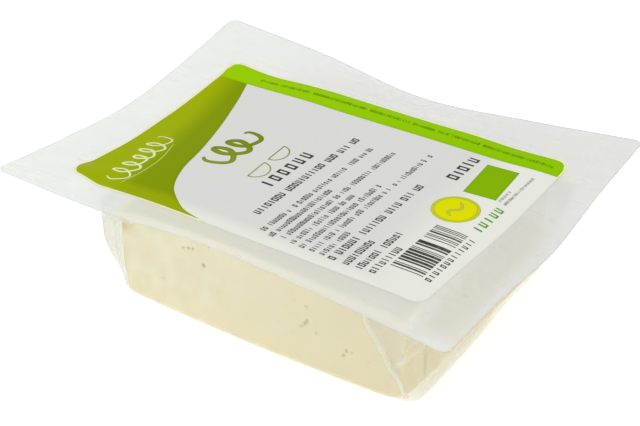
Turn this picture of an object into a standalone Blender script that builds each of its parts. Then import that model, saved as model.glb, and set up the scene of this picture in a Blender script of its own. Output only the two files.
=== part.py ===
"""A 200 g block of fresh tofu sealed in a clear formed pocket under a milky lid film, with a paper label.

The block lies near the front right corner of a pouch that is longer and deeper than the block, so a wide
flange of sealed film stands out behind it and to its left. The film has curled: the flange's corners stand
up and the middles of its sides hang down. Three closed solids are made, each 0.3 mm clear of the next:
the pocket with its contents, the lid film welded over it, and the label stuck on the lid.

Metres, +Z up. The origin is under the middle of the flange, at the level of the pocket's flat foot. +X runs
along the pack and +Y away from the front.
"""
import math

import bmesh
import bpy

MM = 0.001

# The flange: one rectangle of film with small round corners.
FLANGE_LENGTH = 150.0 * MM
FLANGE_DEPTH = 113.0 * MM
FLANGE_CORNER_RADIUS = 3.0 * MM

# Heights of the flange's rim, evenly spaced along each side. Each side starts and ends at a corner.
RIM_LEFT = (27.9 * MM, 25.1 * MM, 23.6 * MM, 27.0 * MM, 32.5 * MM)
RIM_RIGHT = (24.2 * MM, 24.6 * MM, 22.9 * MM, 27.8 * MM, 31.2 * MM)
RIM_FRONT = (27.9 * MM, 27.2 * MM, 29.4 * MM, 27.6 * MM, 24.2 * MM)
RIM_BACK = (32.5 * MM, 29.2 * MM, 23.9 * MM, 26.9 * MM, 31.2 * MM)

# The lid lies flat on the block, and runs down or up to the rim over these widths.
LID_TOP = 28.2 * MM
SLOPE_LEFT = 57.5 * MM
SLOPE_RIGHT = 23.0 * MM
SLOPE_FRONT = 10.0 * MM
SLOPE_BACK = 24.5 * MM

# Films and label, thicker than the real ones so that each is a sound solid, and the gap between them.
LID_THICKNESS = 0.3 * MM
FLANGE_THICKNESS = 0.4 * MM
LABEL_THICKNESS = 0.2 * MM
GAP = 0.3 * MM

# The block inside. It is not a solid of its own, but the film's shape follows from it.
BLOCK_LENGTH = 93.0 * MM
BLOCK_DEPTH = 76.5 * MM
BLOCK_CENTRE = (14.6 * MM, -14.5 * MM)

# How far the formed film stands off the block's left, right, front and back: a little at its foot, and
# more at its mouth, where slack film slants out to the flange. Then come the corner radius, and how much
# of the stand-off on the right is gone at the back.
FOOT_STAND_OFF = (0.7 * MM, 2.9 * MM, 0.6 * MM, 1.6 * MM, 3.5 * MM, 2.6 * MM)
MOUTH_STAND_OFF = (7.7 * MM, 7.9 * MM, 1.7 * MM, 5.6 * MM, 5.0 * MM, 2.2 * MM)
FOOT_RADIUS = 2.0 * MM
SLACK_END = 0.62

# The label.
LABEL_LENGTH = 119.0 * MM
LABEL_DEPTH = 82.0 * MM
LABEL_CENTRE = (2.0 * MM, -4.2 * MM)
LABEL_CORNER_RADIUS = 5.0 * MM
LABEL_CELLS = (26, 18)

# How finely a ring of points goes round the pack, and how many rings each stretch has.
LONG_SIDE_STEPS = 22
SHORT_SIDE_STEPS = 16
CORNER_STEPS = 4
TOP_RINGS = 9
UNDERSIDE_RINGS = 4
WALL_RINGS = 9
FOOT_RINGS = 3


def smooth_step(t):
    """Ease from 0 to 1 as t does, level at both ends."""
    t = min(max(t, 0.0), 1.0)
    return t * t * (3.0 - 2.0 * t)


def blend(a, b, t):
    """The value a share t of the way from a to b."""
    return a + (b - a) * t


def rim_height(heights, share):
    """Height a share of the way along one side: a smooth curve through evenly spaced heights."""
    spans = len(heights) - 1
    place = min(max(share, 0.0), 1.0) * spans
    i = min(int(place), spans - 1)
    t = place - i
    start, end = heights[i], heights[i + 1]
    before = heights[i - 1] if i > 0 else 2.0 * start - end
    after = heights[i + 2] if i + 2 <= spans else 2.0 * end - start
    slope_in = 0.5 * (end - before)
    slope_out = 0.5 * (after - start)
    ease = smooth_step(t)
    return blend(start, end, ease) + slope_in * t * (1.0 - t) ** 2 - slope_out * t * t * (1.0 - t)


def lid_height(x, y):
    """Height of the lid film's outer face: level over the block, following the curled rim beyond it."""
    u = min(max(x / FLANGE_LENGTH + 0.5, 0.0), 1.0)
    v = min(max(y / FLANGE_DEPTH + 0.5, 0.0), 1.0)
    between_ends = blend(rim_height(RIM_LEFT, v), rim_height(RIM_RIGHT, v), u)
    between_sides = blend(rim_height(RIM_FRONT, u), rim_height(RIM_BACK, u), v)
    front_corners = blend(RIM_FRONT[0], RIM_FRONT[-1], u)
    back_corners = blend(RIM_BACK[0], RIM_BACK[-1], u)
    curled_sheet = between_ends + between_sides - blend(front_corners, back_corners, v)
    over_block = (
        smooth_step(u * FLANGE_LENGTH / SLOPE_LEFT)
        * smooth_step((1.0 - u) * FLANGE_LENGTH / SLOPE_RIGHT)
        * smooth_step(v * FLANGE_DEPTH / SLOPE_FRONT)
        * smooth_step((1.0 - v) * FLANGE_DEPTH / SLOPE_BACK)
    )
    return blend(curled_sheet, LID_TOP, over_block)


def rectangle(centre, length, depth, radius):
    """An outline as its left, right, front and back edges, its corner radius and its taper.

    The taper is how far the right edge has come in by the time that it reaches the back.
    """
    return (
        centre[0] - 0.5 * length,
        centre[0] + 0.5 * length,
        centre[1] - 0.5 * depth,
        centre[1] + 0.5 * depth,
        radius,
        0.0,
    )


def grown(shape, left, right, front, back, radius, taper):
    """The outline with each edge moved outwards, and a new corner radius and taper."""
    return (shape[0] - left, shape[1] + right, shape[2] - front, shape[3] + back, radius, taper)


def between(shape_a, shape_b, t):
    """The outline a share t of the way from one to another."""
    return tuple(blend(a, b, t) for a, b in zip(shape_a, shape_b))


def ring_points(shape):
    """Points round an outline, anticlockwise from the front left corner, always as many."""
    left, right, front, back, radius, taper = shape
    corners = (
        (right - radius, front + radius, -90.0, LONG_SIDE_STEPS),
        (right - radius, back - radius, 0.0, SHORT_SIDE_STEPS),
        (left + radius, back - radius, 90.0, LONG_SIDE_STEPS),
        (left + radius, front + radius, 180.0, SHORT_SIDE_STEPS),
    )
    points = []
    last = (left + radius, front)
    for centre_x, centre_y, start_angle, side_steps in corners:
        arc = []
        for step in range(CORNER_STEPS + 1):
            angle = math.radians(start_angle + 90.0 * step / CORNER_STEPS)
            arc.append((centre_x + radius * math.cos(angle), centre_y + radius * math.sin(angle)))
        for step in range(side_steps):
            share = step / side_steps
            points.append((blend(last[0], arc[0][0], share), blend(last[1], arc[0][1], share)))
        points.extend(arc[:-1])
        last = arc[-1]
    length = right - left
    depth = back - front
    return [(x - taper * (x - left) / length * (y - front) / depth, y) for x, y in points]


def lofted_mesh(name, rings):
    """Close a stack of rings, each with as many points, into one skin with a face across each end."""
    bm = bmesh.new()
    loops = [[bm.verts.new(point) for point in ring] for ring in rings]
    count = len(loops[0])
    for lower, upper in zip(loops, loops[1:]):
        for i in range(count):
            j = (i + 1) % count
            bm.faces.new((lower[i], lower[j], upper[j], upper[i]))
    bm.faces.new(list(reversed(loops[0])))
    bm.faces.new(loops[-1])
    bmesh.ops.recalc_face_normals(bm, faces=bm.faces)
    mesh = bpy.data.meshes.new(name)
    bm.to_mesh(mesh)
    bm.free()
    mesh.shade_smooth()
    mesh.set_sharp_from_angle(angle=math.radians(35.0))
    return mesh


def ring_on_lid(shape, drop):
    """A ring that lies a set depth below the lid's outer face."""
    return [(x, y, lid_height(x, y) - drop) for x, y in ring_points(shape)]


def solid_material(name, colour, roughness):
    """A plain Principled material."""
    material = bpy.data.materials.new(name)
    material.use_nodes = True
    shader = material.node_tree.nodes["Principled BSDF"]
    shader.inputs["Base Color"].default_value = (*colour, 1.0)
    shader.inputs["Roughness"].default_value = roughness
    shader.inputs["Metallic"].default_value = 0.0
    return material


def add_part(mesh, material, collection):
    """Put a finished mesh in the scene as a part of its own name."""
    part = bpy.data.objects.new(mesh.name, mesh)
    part.data.materials.append(material)
    collection.objects.link(part)
    return part


flange = rectangle((0.0, 0.0), FLANGE_LENGTH, FLANGE_DEPTH, FLANGE_CORNER_RADIUS)
level_top = grown(flange, -SLOPE_LEFT, -SLOPE_RIGHT, -SLOPE_FRONT, -SLOPE_BACK, FLANGE_CORNER_RADIUS, 0.0)
block = rectangle(BLOCK_CENTRE, BLOCK_LENGTH, BLOCK_DEPTH, 0.0)
foot = grown(block, *FOOT_STAND_OFF)
mouth = grown(block, *MOUTH_STAND_OFF)


def make_filled_pocket(collection):
    """The formed film with the block in it: foot, slanting walls, and the flange's lower half."""
    top_drop = LID_THICKNESS + GAP
    underside_drop = top_drop + FLANGE_THICKNESS
    rings = []
    for step in range(FOOT_RINGS):
        angle = math.radians(90.0 * step / FOOT_RINGS)
        inset = FOOT_RADIUS * (1.0 - math.sin(angle))
        height = FOOT_RADIUS * (1.0 - math.cos(angle))
        rounding = grown(foot, -inset, -inset, -inset, -inset, *FOOT_STAND_OFF[4:])
        rings.append([(x, y, height) for x, y in ring_points(rounding)])
    for step in range(WALL_RINGS):
        rise = step / WALL_RINGS
        wall = ring_on_lid(between(foot, mouth, smooth_step(rise / SLACK_END)), underside_drop)
        rings.append([(x, y, blend(FOOT_RADIUS, z, rise)) for x, y, z in wall])
    for step in range(UNDERSIDE_RINGS + 1):
        rings.append(ring_on_lid(between(mouth, flange, step / UNDERSIDE_RINGS), underside_drop))
    for step in range(TOP_RINGS + 1):
        rings.append(ring_on_lid(between(flange, level_top, step / TOP_RINGS), top_drop))
    material = solid_material("tofu_in_clear_film", (0.78, 0.74, 0.50), 0.35)
    return add_part(lofted_mesh("filled_pocket", rings), material, collection)


def make_lid_film(collection):
    """The lid film: one sheet over the whole flange."""
    rings = []
    for step in range(TOP_RINGS + 1):
        rings.append(ring_on_lid(between(level_top, flange, step / TOP_RINGS), LID_THICKNESS))
    for step in range(TOP_RINGS + 1):
        rings.append(ring_on_lid(between(flange, level_top, step / TOP_RINGS), 0.0))
    material = solid_material("milky_film", (0.80, 0.81, 0.78), 0.30)
    return add_part(lofted_mesh("lid_film", rings), material, collection)


def make_label(collection):
    """The label: a flat sheet with round corners, laid on the lid and following its curl."""
    bm = bmesh.new()
    bmesh.ops.create_grid(bm, x_segments=LABEL_CELLS[0], y_segments=LABEL_CELLS[1], size=0.5)
    straight_x = 0.5 * LABEL_LENGTH - LABEL_CORNER_RADIUS
    straight_y = 0.5 * LABEL_DEPTH - LABEL_CORNER_RADIUS
    for vert in bm.verts:
        x = vert.co.x * LABEL_LENGTH
        y = vert.co.y * LABEL_DEPTH
        past_x = max(abs(x) - straight_x, 0.0)
        past_y = max(abs(y) - straight_y, 0.0)
        squeeze_x = math.sqrt(1.0 - 0.5 * (past_y / LABEL_CORNER_RADIUS) ** 2)
        squeeze_y = math.sqrt(1.0 - 0.5 * (past_x / LABEL_CORNER_RADIUS) ** 2)
        x = math.copysign(min(abs(x), straight_x) + past_x * squeeze_x, x) + LABEL_CENTRE[0]
        y = math.copysign(min(abs(y), straight_y) + past_y * squeeze_y, y) + LABEL_CENTRE[1]
        vert.co = (x, y, lid_height(x, y) + GAP)
    mesh = bpy.data.meshes.new("label")
    bm.to_mesh(mesh)
    bm.free()
    material = solid_material("printed_label", (0.70, 0.71, 0.68), 0.45)
    label = add_part(mesh, material, collection)
    paper = label.modifiers.new("Paper", "SOLIDIFY")
    paper.thickness = LABEL_THICKNESS
    paper.offset = 1.0
    return label


for old_object in list(bpy.data.objects):
    bpy.data.objects.remove(old_object, do_unlink=True)
pack_parts = bpy.data.collections.new("packed_tofu_block")
bpy.context.scene.collection.children.link(pack_parts)
make_filled_pocket(pack_parts)
make_lid_film(pack_parts)
make_label(pack_parts)
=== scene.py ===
import math
import random

import bmesh
import bpy
from mathutils import Matrix, Vector, noise


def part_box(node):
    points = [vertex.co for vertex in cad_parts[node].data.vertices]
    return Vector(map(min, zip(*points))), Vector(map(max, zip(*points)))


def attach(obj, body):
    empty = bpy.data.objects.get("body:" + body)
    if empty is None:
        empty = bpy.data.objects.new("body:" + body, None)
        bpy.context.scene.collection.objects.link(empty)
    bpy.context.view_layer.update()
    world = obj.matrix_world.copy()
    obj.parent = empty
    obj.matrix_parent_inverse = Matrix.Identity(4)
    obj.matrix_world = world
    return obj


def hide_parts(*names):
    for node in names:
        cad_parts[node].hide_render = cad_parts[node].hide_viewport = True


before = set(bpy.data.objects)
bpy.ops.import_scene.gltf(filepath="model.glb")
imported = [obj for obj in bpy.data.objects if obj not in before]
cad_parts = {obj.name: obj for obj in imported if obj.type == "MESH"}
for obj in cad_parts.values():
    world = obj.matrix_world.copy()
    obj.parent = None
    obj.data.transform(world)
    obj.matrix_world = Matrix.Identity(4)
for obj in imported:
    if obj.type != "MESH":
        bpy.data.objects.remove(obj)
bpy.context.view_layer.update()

# ----------------------------------------------------------------------------------------------------------
# The tofu. A block cut from a pressed slab of set soy curd: moist, close and cream-coloured, with soft
# edges, faces a little out of true, and a few small pores where whey and air were caught in the curd.
# It fills the film pocket, and the lid rests on its top face.
# ----------------------------------------------------------------------------------------------------------
MM = 0.001

flange_low, flange_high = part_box("lid_film")
FLANGE_LENGTH = flange_high.x - flange_low.x
FLANGE_DEPTH = flange_high.y - flange_low.y
FLANGE_CORNER_RADIUS = 3.0 * MM

# Heights of the curled rim, evenly spaced along each side from corner to corner, and how the lid runs down
# or up to it from the level stretch over the block.
RIM_LEFT = (27.9 * MM, 25.1 * MM, 23.6 * MM, 27.0 * MM, 32.5 * MM)
RIM_RIGHT = (24.2 * MM, 24.6 * MM, 22.9 * MM, 27.8 * MM, 31.2 * MM)
RIM_FRONT = (27.9 * MM, 27.2 * MM, 29.4 * MM, 27.6 * MM, 24.2 * MM)
RIM_BACK = (32.5 * MM, 29.2 * MM, 23.9 * MM, 26.9 * MM, 31.2 * MM)
LID_TOP = 28.2 * MM
SLOPE_LEFT = 57.5 * MM
SLOPE_RIGHT = 23.0 * MM
SLOPE_FRONT = 10.0 * MM
SLOPE_BACK = 24.5 * MM

# Small waves the margin has besides: one along the label's back edge, its heights evenly spaced from the
# label's left end to its right one, and the lift of the label's front left corner. Each has where it starts,
# is whole, fades and ends, along and across the flange, in millimetres.
BACK_WAVE = (1.1 * MM, 0.0 * MM, 0.5 * MM, 0.6 * MM, 0.6 * MM, 0.5 * MM, 0.5 * MM, 0.1 * MM, 0.6 * MM)
BACK_WAVE_SPAN = 119.0 * MM
BACK_WAVE_ALONG = (-71.0, -60.0, 60.0, 70.0)
BACK_WAVE_ACROSS = (29.0, 36.0, 38.5, 53.0)
FRONT_CORNER_LIFT = 1.9 * MM
FRONT_CORNER_ALONG = (-74.0, -60.0, -53.5, -44.0)
FRONT_CORNER_ACROSS = (-56.0, -47.0, -45.0, -34.0)


def smooth_step(t):
    """Ease from 0 to 1 as t does, level at both ends."""
    t = min(max(t, 0.0), 1.0)
    return t * t * (3.0 - 2.0 * t)


def blend(a, b, t):
    """The value a share t of the way from a to b."""
    return a + (b - a) * t


def rim_height(heights, share):
    """Height a share of the way along one side: a smooth curve through evenly spaced heights."""
    spans = len(heights) - 1
    place = min(max(share, 0.0), 1.0) * spans
    i = min(int(place), spans - 1)
    t = place - i
    start, end = heights[i], heights[i + 1]
    before = heights[i - 1] if i > 0 else 2.0 * start - end
    after = heights[i + 2] if i + 2 <= spans else 2.0 * end - start
    slope_in = 0.5 * (end - before)
    slope_out = 0.5 * (after - start)
    return blend(start, end, smooth_step(t)) + slope_in * t * (1.0 - t) ** 2 - slope_out * t * t * (1.0 - t)


def window(value, start, full, fading, end):
    """Rise from 0 at start to 1 at full and fall from 1 at fading to 0 at end, at a place in metres."""
    value /= MM
    return smooth_step((value - start) / (full - start)) * smooth_step((end - value) / (end - fading))


def lid_height(x, y):
    """Height of the lid film's outer face: level over the block, following the curled rim beyond it."""
    u = min(max(x / FLANGE_LENGTH + 0.5, 0.0), 1.0)
    v = min(max(y / FLANGE_DEPTH + 0.5, 0.0), 1.0)
    between_ends = blend(rim_height(RIM_LEFT, v), rim_height(RIM_RIGHT, v), u)
    between_sides = blend(rim_height(RIM_FRONT, u), rim_height(RIM_BACK, u), v)
    front_corners = blend(RIM_FRONT[0], RIM_FRONT[-1], u)
    back_corners = blend(RIM_BACK[0], RIM_BACK[-1], u)
    curled_sheet = between_ends + between_sides - blend(front_corners, back_corners, v)
    over_block = (
        smooth_step(u * FLANGE_LENGTH / SLOPE_LEFT)
        * smooth_step((1.0 - u) * FLANGE_LENGTH / SLOPE_RIGHT)
        * smooth_step(v * FLANGE_DEPTH / SLOPE_FRONT)
        * smooth_step((1.0 - v) * FLANGE_DEPTH / SLOPE_BACK)
    )
    back_wave = rim_height(BACK_WAVE, x / BACK_WAVE_SPAN + 0.5)
    waves = back_wave * window(x, *BACK_WAVE_ALONG) * window(y, *BACK_WAVE_ACROSS)
    waves += FRONT_CORNER_LIFT * window(x, *FRONT_CORNER_ALONG) * window(y, *FRONT_CORNER_ACROSS)
    return blend(curled_sheet, LID_TOP, over_block) + waves


def rectangle(centre, length, depth, radius, taper=0.0):
    """An outline: left, right, front and back edges, corner radius, and how far the right edge comes in."""
    half_length = 0.5 * length
    half_depth = 0.5 * depth
    return (
        centre[0] - half_length,
        centre[0] + half_length,
        centre[1] - half_depth,
        centre[1] + half_depth,
        radius,
        taper,
    )


def grown(shape, left, right, front, back, radius, taper=0.0):
    """The outline with each edge moved outwards, and a new corner radius and taper."""
    return (shape[0] - left, shape[1] + right, shape[2] - front, shape[3] + back, radius, taper)


def between(shape_a, shape_b, t):
    """The outline a share t of the way from one to another."""
    return tuple(blend(a, b, t) for a, b in zip(shape_a, shape_b))


def ring_points(shape, side_steps, corner_steps):
    """Points round an outline, anticlockwise from the front left corner; side_steps go front first."""
    left, right, front, back, radius, taper = shape
    centres = (
        (right - radius, front + radius),
        (right - radius, back - radius),
        (left + radius, back - radius),
        (left + radius, front + radius),
    )
    points = []
    last = (left + radius, front)
    for corner, (centre_x, centre_y) in enumerate(centres):
        arc = []
        for step in range(corner_steps + 1):
            angle = math.radians(90.0 * (corner - 1) + 90.0 * step / corner_steps)
            arc.append((centre_x + radius * math.cos(angle), centre_y + radius * math.sin(angle)))
        for step in range(side_steps[corner]):
            share = step / side_steps[corner]
            points.append((blend(last[0], arc[0][0], share), blend(last[1], arc[0][1], share)))
        points.extend(arc[:-1])
        last = arc[-1]
    length = right - left
    depth = back - front
    return [(x - taper * (x - left) / length * (y - front) / depth, y) for x, y in points]


def lofted_skin(rings, caps):
    """A bmesh through a stack of rings with as many points each, closed at the first, the last or both."""
    skin = bmesh.new()
    loops = [[skin.verts.new(point) for point in ring] for ring in rings]
    count = len(loops[0])
    for lower, upper in zip(loops, loops[1:]):
        for i in range(count):
            j = (i + 1) % count
            skin.faces.new((lower[i], lower[j], upper[j], upper[i]))
    if "first" in caps:
        skin.faces.new(list(reversed(loops[0])))
    if "last" in caps:
        skin.faces.new(loops[-1])
    skin.normal_update()
    return skin


def finished_piece(name, skin, material):
    """Make the bmesh a smooth-shaded piece that rides on the pack and takes its finish from the slot."""
    mesh = bpy.data.meshes.new(name)
    skin.to_mesh(mesh)
    skin.free()
    mesh.shade_smooth()
    mesh.materials.append(material)
    piece = bpy.data.objects.new(name, mesh)
    bpy.context.scene.collection.objects.link(piece)
    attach(piece, "root")
    return piece


def colour(hex_code):
    """An sRGB hex colour as linear red, green, blue and alpha."""
    channels = [int(hex_code[i : i + 2], 16) / 255.0 for i in (0, 2, 4)]
    return (*(c / 12.92 if c <= 0.04045 else ((c + 0.055) / 1.055) ** 2.4 for c in channels), 1.0)


def add_node(tree, kind, values=None, links=None, **settings):
    """Add a node, set its properties and its sockets' values, and link sources into its sockets."""
    added = tree.nodes.new(kind)
    for name, value in settings.items():
        setattr(added, name, value)
    for socket, value in (values or {}).items():
        added.inputs[socket].default_value = value
    for socket, source in (links or {}).items():
        tree.links.new(source, added.inputs[socket])
    return added


def new_material(name):
    """An empty material, its tree, its Principled shader and its Object coordinates in millimetres."""
    material = bpy.data.materials.new(name)
    material.use_nodes = True
    tree = material.node_tree
    shader = tree.nodes["Principled BSDF"]
    place = add_node(tree, "ShaderNodeTexCoord")
    in_mm = add_node(
        tree,
        "ShaderNodeVectorMath",
        {1: (1.0 / MM, 1.0 / MM, 1.0 / MM)},
        {0: place.outputs["Object"]},
        operation="MULTIPLY",
    )
    return material, tree, shader, in_mm.outputs["Vector"]


BLOCK_LENGTH = 93.0 * MM
BLOCK_DEPTH = 76.5 * MM
BLOCK_CENTRE = (14.6 * MM, -14.5 * MM)
BLOCK_LIFT = 0.18 * MM
BLOCK_UNDER_LID = 0.45 * MM
FOOT_EDGE_RADIUS = 2.2 * MM
TOP_EDGE_RADIUS = 0.7 * MM
UPRIGHT_RADIUS_LOW = 3.4 * MM
UPRIGHT_RADIUS_HIGH = 1.0 * MM
UPRIGHT_SOFT_HEIGHT = 14.0 * MM

# How far the soft block is out of true: the front face stands out all over and bulges at its foot, the left
# end leans in, the front right corner is rounded up off the table, and every cut face is a little uneven.
FRONT_SWELL = 0.42 * MM
FOOT_BULGE = 1.3 * MM
FOOT_BULGE_HEIGHT = 22.0 * MM
END_LEAN = 0.9 * MM
CORNER_RISE = 1.0 * MM
CORNER_RISE_REACH = 11.0 * MM
CORNER_RISE_HEIGHT = 7.0 * MM
FACE_WAVE_HEIGHT = 0.14 * MM
FACE_WAVE_LENGTH = 17.0 * MM
GRAIN_HEIGHT = 0.035 * MM
GRAIN_LENGTH = 2.2 * MM

# Points along the front, right, back and left sides, then round each corner, and rings up the block.
BLOCK_STEPS = (300, 100, 130, 90)
BLOCK_CORNER_STEPS = 8
BLOCK_WALL_RINGS = 72
EDGE_RINGS = 5
TOP_RINGS = 6
FOOT_FACE_INSET = 6.0 * FOOT_EDGE_RADIUS
TOP_FACE_INSET = 18.0 * MM

# Pores on the front face that are large enough to see: distance along the face from its left edge, height,
# radius along and up, and depth.
FRONT_PORES = (
    (22.9, 23.0, 0.42, 0.36, 0.70),
    (24.7, 23.4, 0.42, 0.36, 0.80),
    (26.2, 23.7, 0.42, 0.36, 0.70),
    (29.6, 19.6, 0.50, 0.55, 0.80),
    (15.4, 10.4, 0.50, 0.35, 0.30),
    (34.7, 13.4, 0.30, 0.30, 0.25),
    (63.3, 19.4, 0.45, 0.35, 0.40),
    (59.4, 20.0, 0.30, 0.30, 0.30),
    (63.6, 15.0, 0.45, 0.60, 0.70),
    (62.9, 14.0, 0.50, 0.45, 0.65),
    (62.0, 12.9, 0.70, 0.35, 0.45),
    (66.7, 12.5, 0.35, 0.45, 0.40),
    (76.1, 10.6, 0.35, 0.50, 0.60),
    (77.6, 10.9, 0.35, 0.30, 0.40),
    (75.2, 8.9, 0.50, 0.40, 0.50),
    (57.9, 15.3, 0.25, 0.25, 0.25),
    (59.7, 10.3, 0.30, 0.30, 0.25),
    (6.3, 9.4, 0.30, 0.30, 0.25),
)

# The pores on the other faces: how many, the heights and radii they lie between, and the share on the back.
OTHER_PORES = 46
OTHER_PORE_HEIGHTS = (4.0 * MM, 25.0 * MM)
OTHER_PORE_RADII = (0.35 * MM, 0.8 * MM)
BACK_PORE_SHARE = 0.4
FULL_DENT = 1.2 * MM

# An upright crack in the right end: how far behind the front, how high, half its width and height, and depth.
END_CRACK = (10.8, 6.5, 0.65, 5.2, 0.7)

# Where a spot of painted shade darkens and warms the top of the front face by its left edge, in millimetres.
CORNER_SHADE_SPOT = (-30.8, -53.0, 24.0)

block = rectangle(BLOCK_CENTRE, BLOCK_LENGTH, BLOCK_DEPTH, 0.0)


def block_radius(z):
    """Radius of the upright edges, softer near the foot."""
    return blend(UPRIGHT_RADIUS_LOW, UPRIGHT_RADIUS_HIGH, smooth_step(z / UPRIGHT_SOFT_HEIGHT))


def face_waves(place):
    """Slow unevenness of the cut faces, which the clinging film takes up too."""
    return FACE_WAVE_HEIGHT * noise.noise(place / FACE_WAVE_LENGTH)


def corner_lift(place):
    """How far the soft lower corner at the front right is rounded up off the table; the film goes with it."""
    reach = math.hypot(place[0] - (block[1] + 2.0 * MM), place[1] - block[2])
    low = max(0.0, 1.0 - place[2] / CORNER_RISE_HEIGHT)
    return CORNER_RISE * max(0.0, 1.0 - reach / CORNER_RISE_REACH) ** 1.5 * low


def front_bulge(place):
    """How far the foot of the front face bulges out, most in the middle; the film goes with it."""
    along = min(max((place[0] - block[0]) / BLOCK_LENGTH, 0.0), 1.0)
    low = 1.0 - smooth_step(place[2] / FOOT_BULGE_HEIGHT)
    at_front = smooth_step((block[2] - place[1]) / (5.0 * MM) + 1.0)
    return FOOT_BULGE * 4.0 * along * (1.0 - along) * low * at_front


def end_lean(place):
    """How far the block's left end leans in towards its top."""
    at_end = smooth_step((block[0] - place[0]) / (6.0 * MM) + 1.0)
    return END_LEAN * place[2] / LID_TOP * at_end


def block_pores():
    """Centre, outward axis and size of each pore: the front face's own, then some on the other faces."""
    left = block[0]
    front = block[2] - FRONT_SWELL
    pores = []
    for along, height, radius_along, radius_up, depth in FRONT_PORES:
        centre = Vector((left + along * MM, front, height * MM))
        pores.append((centre, 1, radius_along * MM, radius_up * MM, depth * MM))
    behind, height, half_width, half_height, depth = (size * MM for size in END_CRACK)
    pores.append((Vector((block[1], block[2] + behind, height)), 0, half_width, half_height, depth))
    chance = random.Random(7)
    for _ in range(OTHER_PORES):
        height = chance.uniform(*OTHER_PORE_HEIGHTS)
        radius = chance.uniform(*OTHER_PORE_RADII)
        if chance.random() < BACK_PORE_SHARE:
            centre = Vector((left + chance.uniform(0.05, 0.95) * BLOCK_LENGTH, front + BLOCK_DEPTH, height))
            pores.append((centre, 1, radius, radius, radius))
        else:
            side = left + BLOCK_LENGTH * chance.choice((0, 1))
            centre = Vector((side, front + chance.uniform(0.06, 0.94) * BLOCK_DEPTH, height))
            pores.append((centre, 0, radius, radius, radius))
    return pores


def pore_depth(place, pores):
    """How deep the pores go at a place on the block's skin."""
    depth = 0.0
    for centre, axis, radius_along, radius_up, deepest in pores:
        gap = place - centre
        if abs(gap[axis]) < 2.0 * MM:
            reach = math.hypot(gap[1 - axis] / radius_along, gap[2] / radius_up)
            depth += deepest * (1.0 - smooth_step(reach / 1.6))
    return depth


def make_tofu_block():
    """Rings up the block: a rounded foot edge, walls that lean a little, a top edge and the top face."""

    def ring(inset, z, under_lid):
        swell = FRONT_SWELL - inset
        shape = grown(block, -inset, -inset, swell, -inset, block_radius(z) + 0.3 * inset)
        points = ring_points(shape, BLOCK_STEPS, BLOCK_CORNER_STEPS)
        if under_lid:
            return [(x, y, lid_height(x, y) - BLOCK_UNDER_LID - (LID_TOP - z)) for x, y in points]
        return [(x, y, BLOCK_LIFT + z) for x, y in points]

    rings = [ring(FOOT_FACE_INSET, 0.0, False)]
    for step in range(EDGE_RINGS):
        angle = math.radians(90.0 * step / EDGE_RINGS)
        inset = FOOT_EDGE_RADIUS * (1.0 - math.sin(angle))
        rings.append(ring(inset, FOOT_EDGE_RADIUS * (1.0 - math.cos(angle)), False))
    wall_top = LID_TOP - TOP_EDGE_RADIUS
    wall_start = rings[-1]
    wall_end = ring(0.0, wall_top, True)
    for step in range(1, BLOCK_WALL_RINGS):
        rise = step / BLOCK_WALL_RINGS
        level = ring(0.0, blend(FOOT_EDGE_RADIUS, wall_top, rise), False)
        ends = zip(level, wall_start, wall_end)
        rings.append([(x, y, blend(low[2], high[2], rise)) for (x, y, _), low, high in ends])
    for step in range(EDGE_RINGS + 1):
        angle = math.radians(90.0 * step / EDGE_RINGS)
        inset = TOP_EDGE_RADIUS * (1.0 - math.cos(angle))
        drop = TOP_EDGE_RADIUS * (1.0 - math.sin(angle))
        rings.append(ring(inset, LID_TOP - drop, True))
    for step in range(1, TOP_RINGS + 1):
        rings.append(ring(blend(TOP_EDGE_RADIUS, TOP_FACE_INSET, step / TOP_RINGS), LID_TOP, True))
    skin = lofted_skin(rings, ("first", "last"))

    dent_layer = skin.verts.layers.float.new("dent")
    pores = block_pores()
    for vert in skin.verts:
        depth = pore_depth(vert.co, pores)
        vert[dent_layer] = min(1.0, depth / FULL_DENT)
        above_foot = smooth_step((vert.co.z - 0.5 * MM) / (2.0 * MM))
        below_top = smooth_step((LID_TOP - vert.co.z) / (2.0 * MM))
        grain = GRAIN_HEIGHT * noise.noise(vert.co / GRAIN_LENGTH + Vector((5.0, 1.0, 9.0)))
        vert.co += vert.normal * ((face_waves(vert.co) + grain) * above_foot * below_top - depth)
        vert.co += Vector((end_lean(vert.co), -front_bulge(vert.co), corner_lift(vert.co)))
    skin.normal_update()
    tofu = finished_piece("tofu_block", skin, set_soy_curd())
    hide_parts("filled_pocket")


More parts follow.
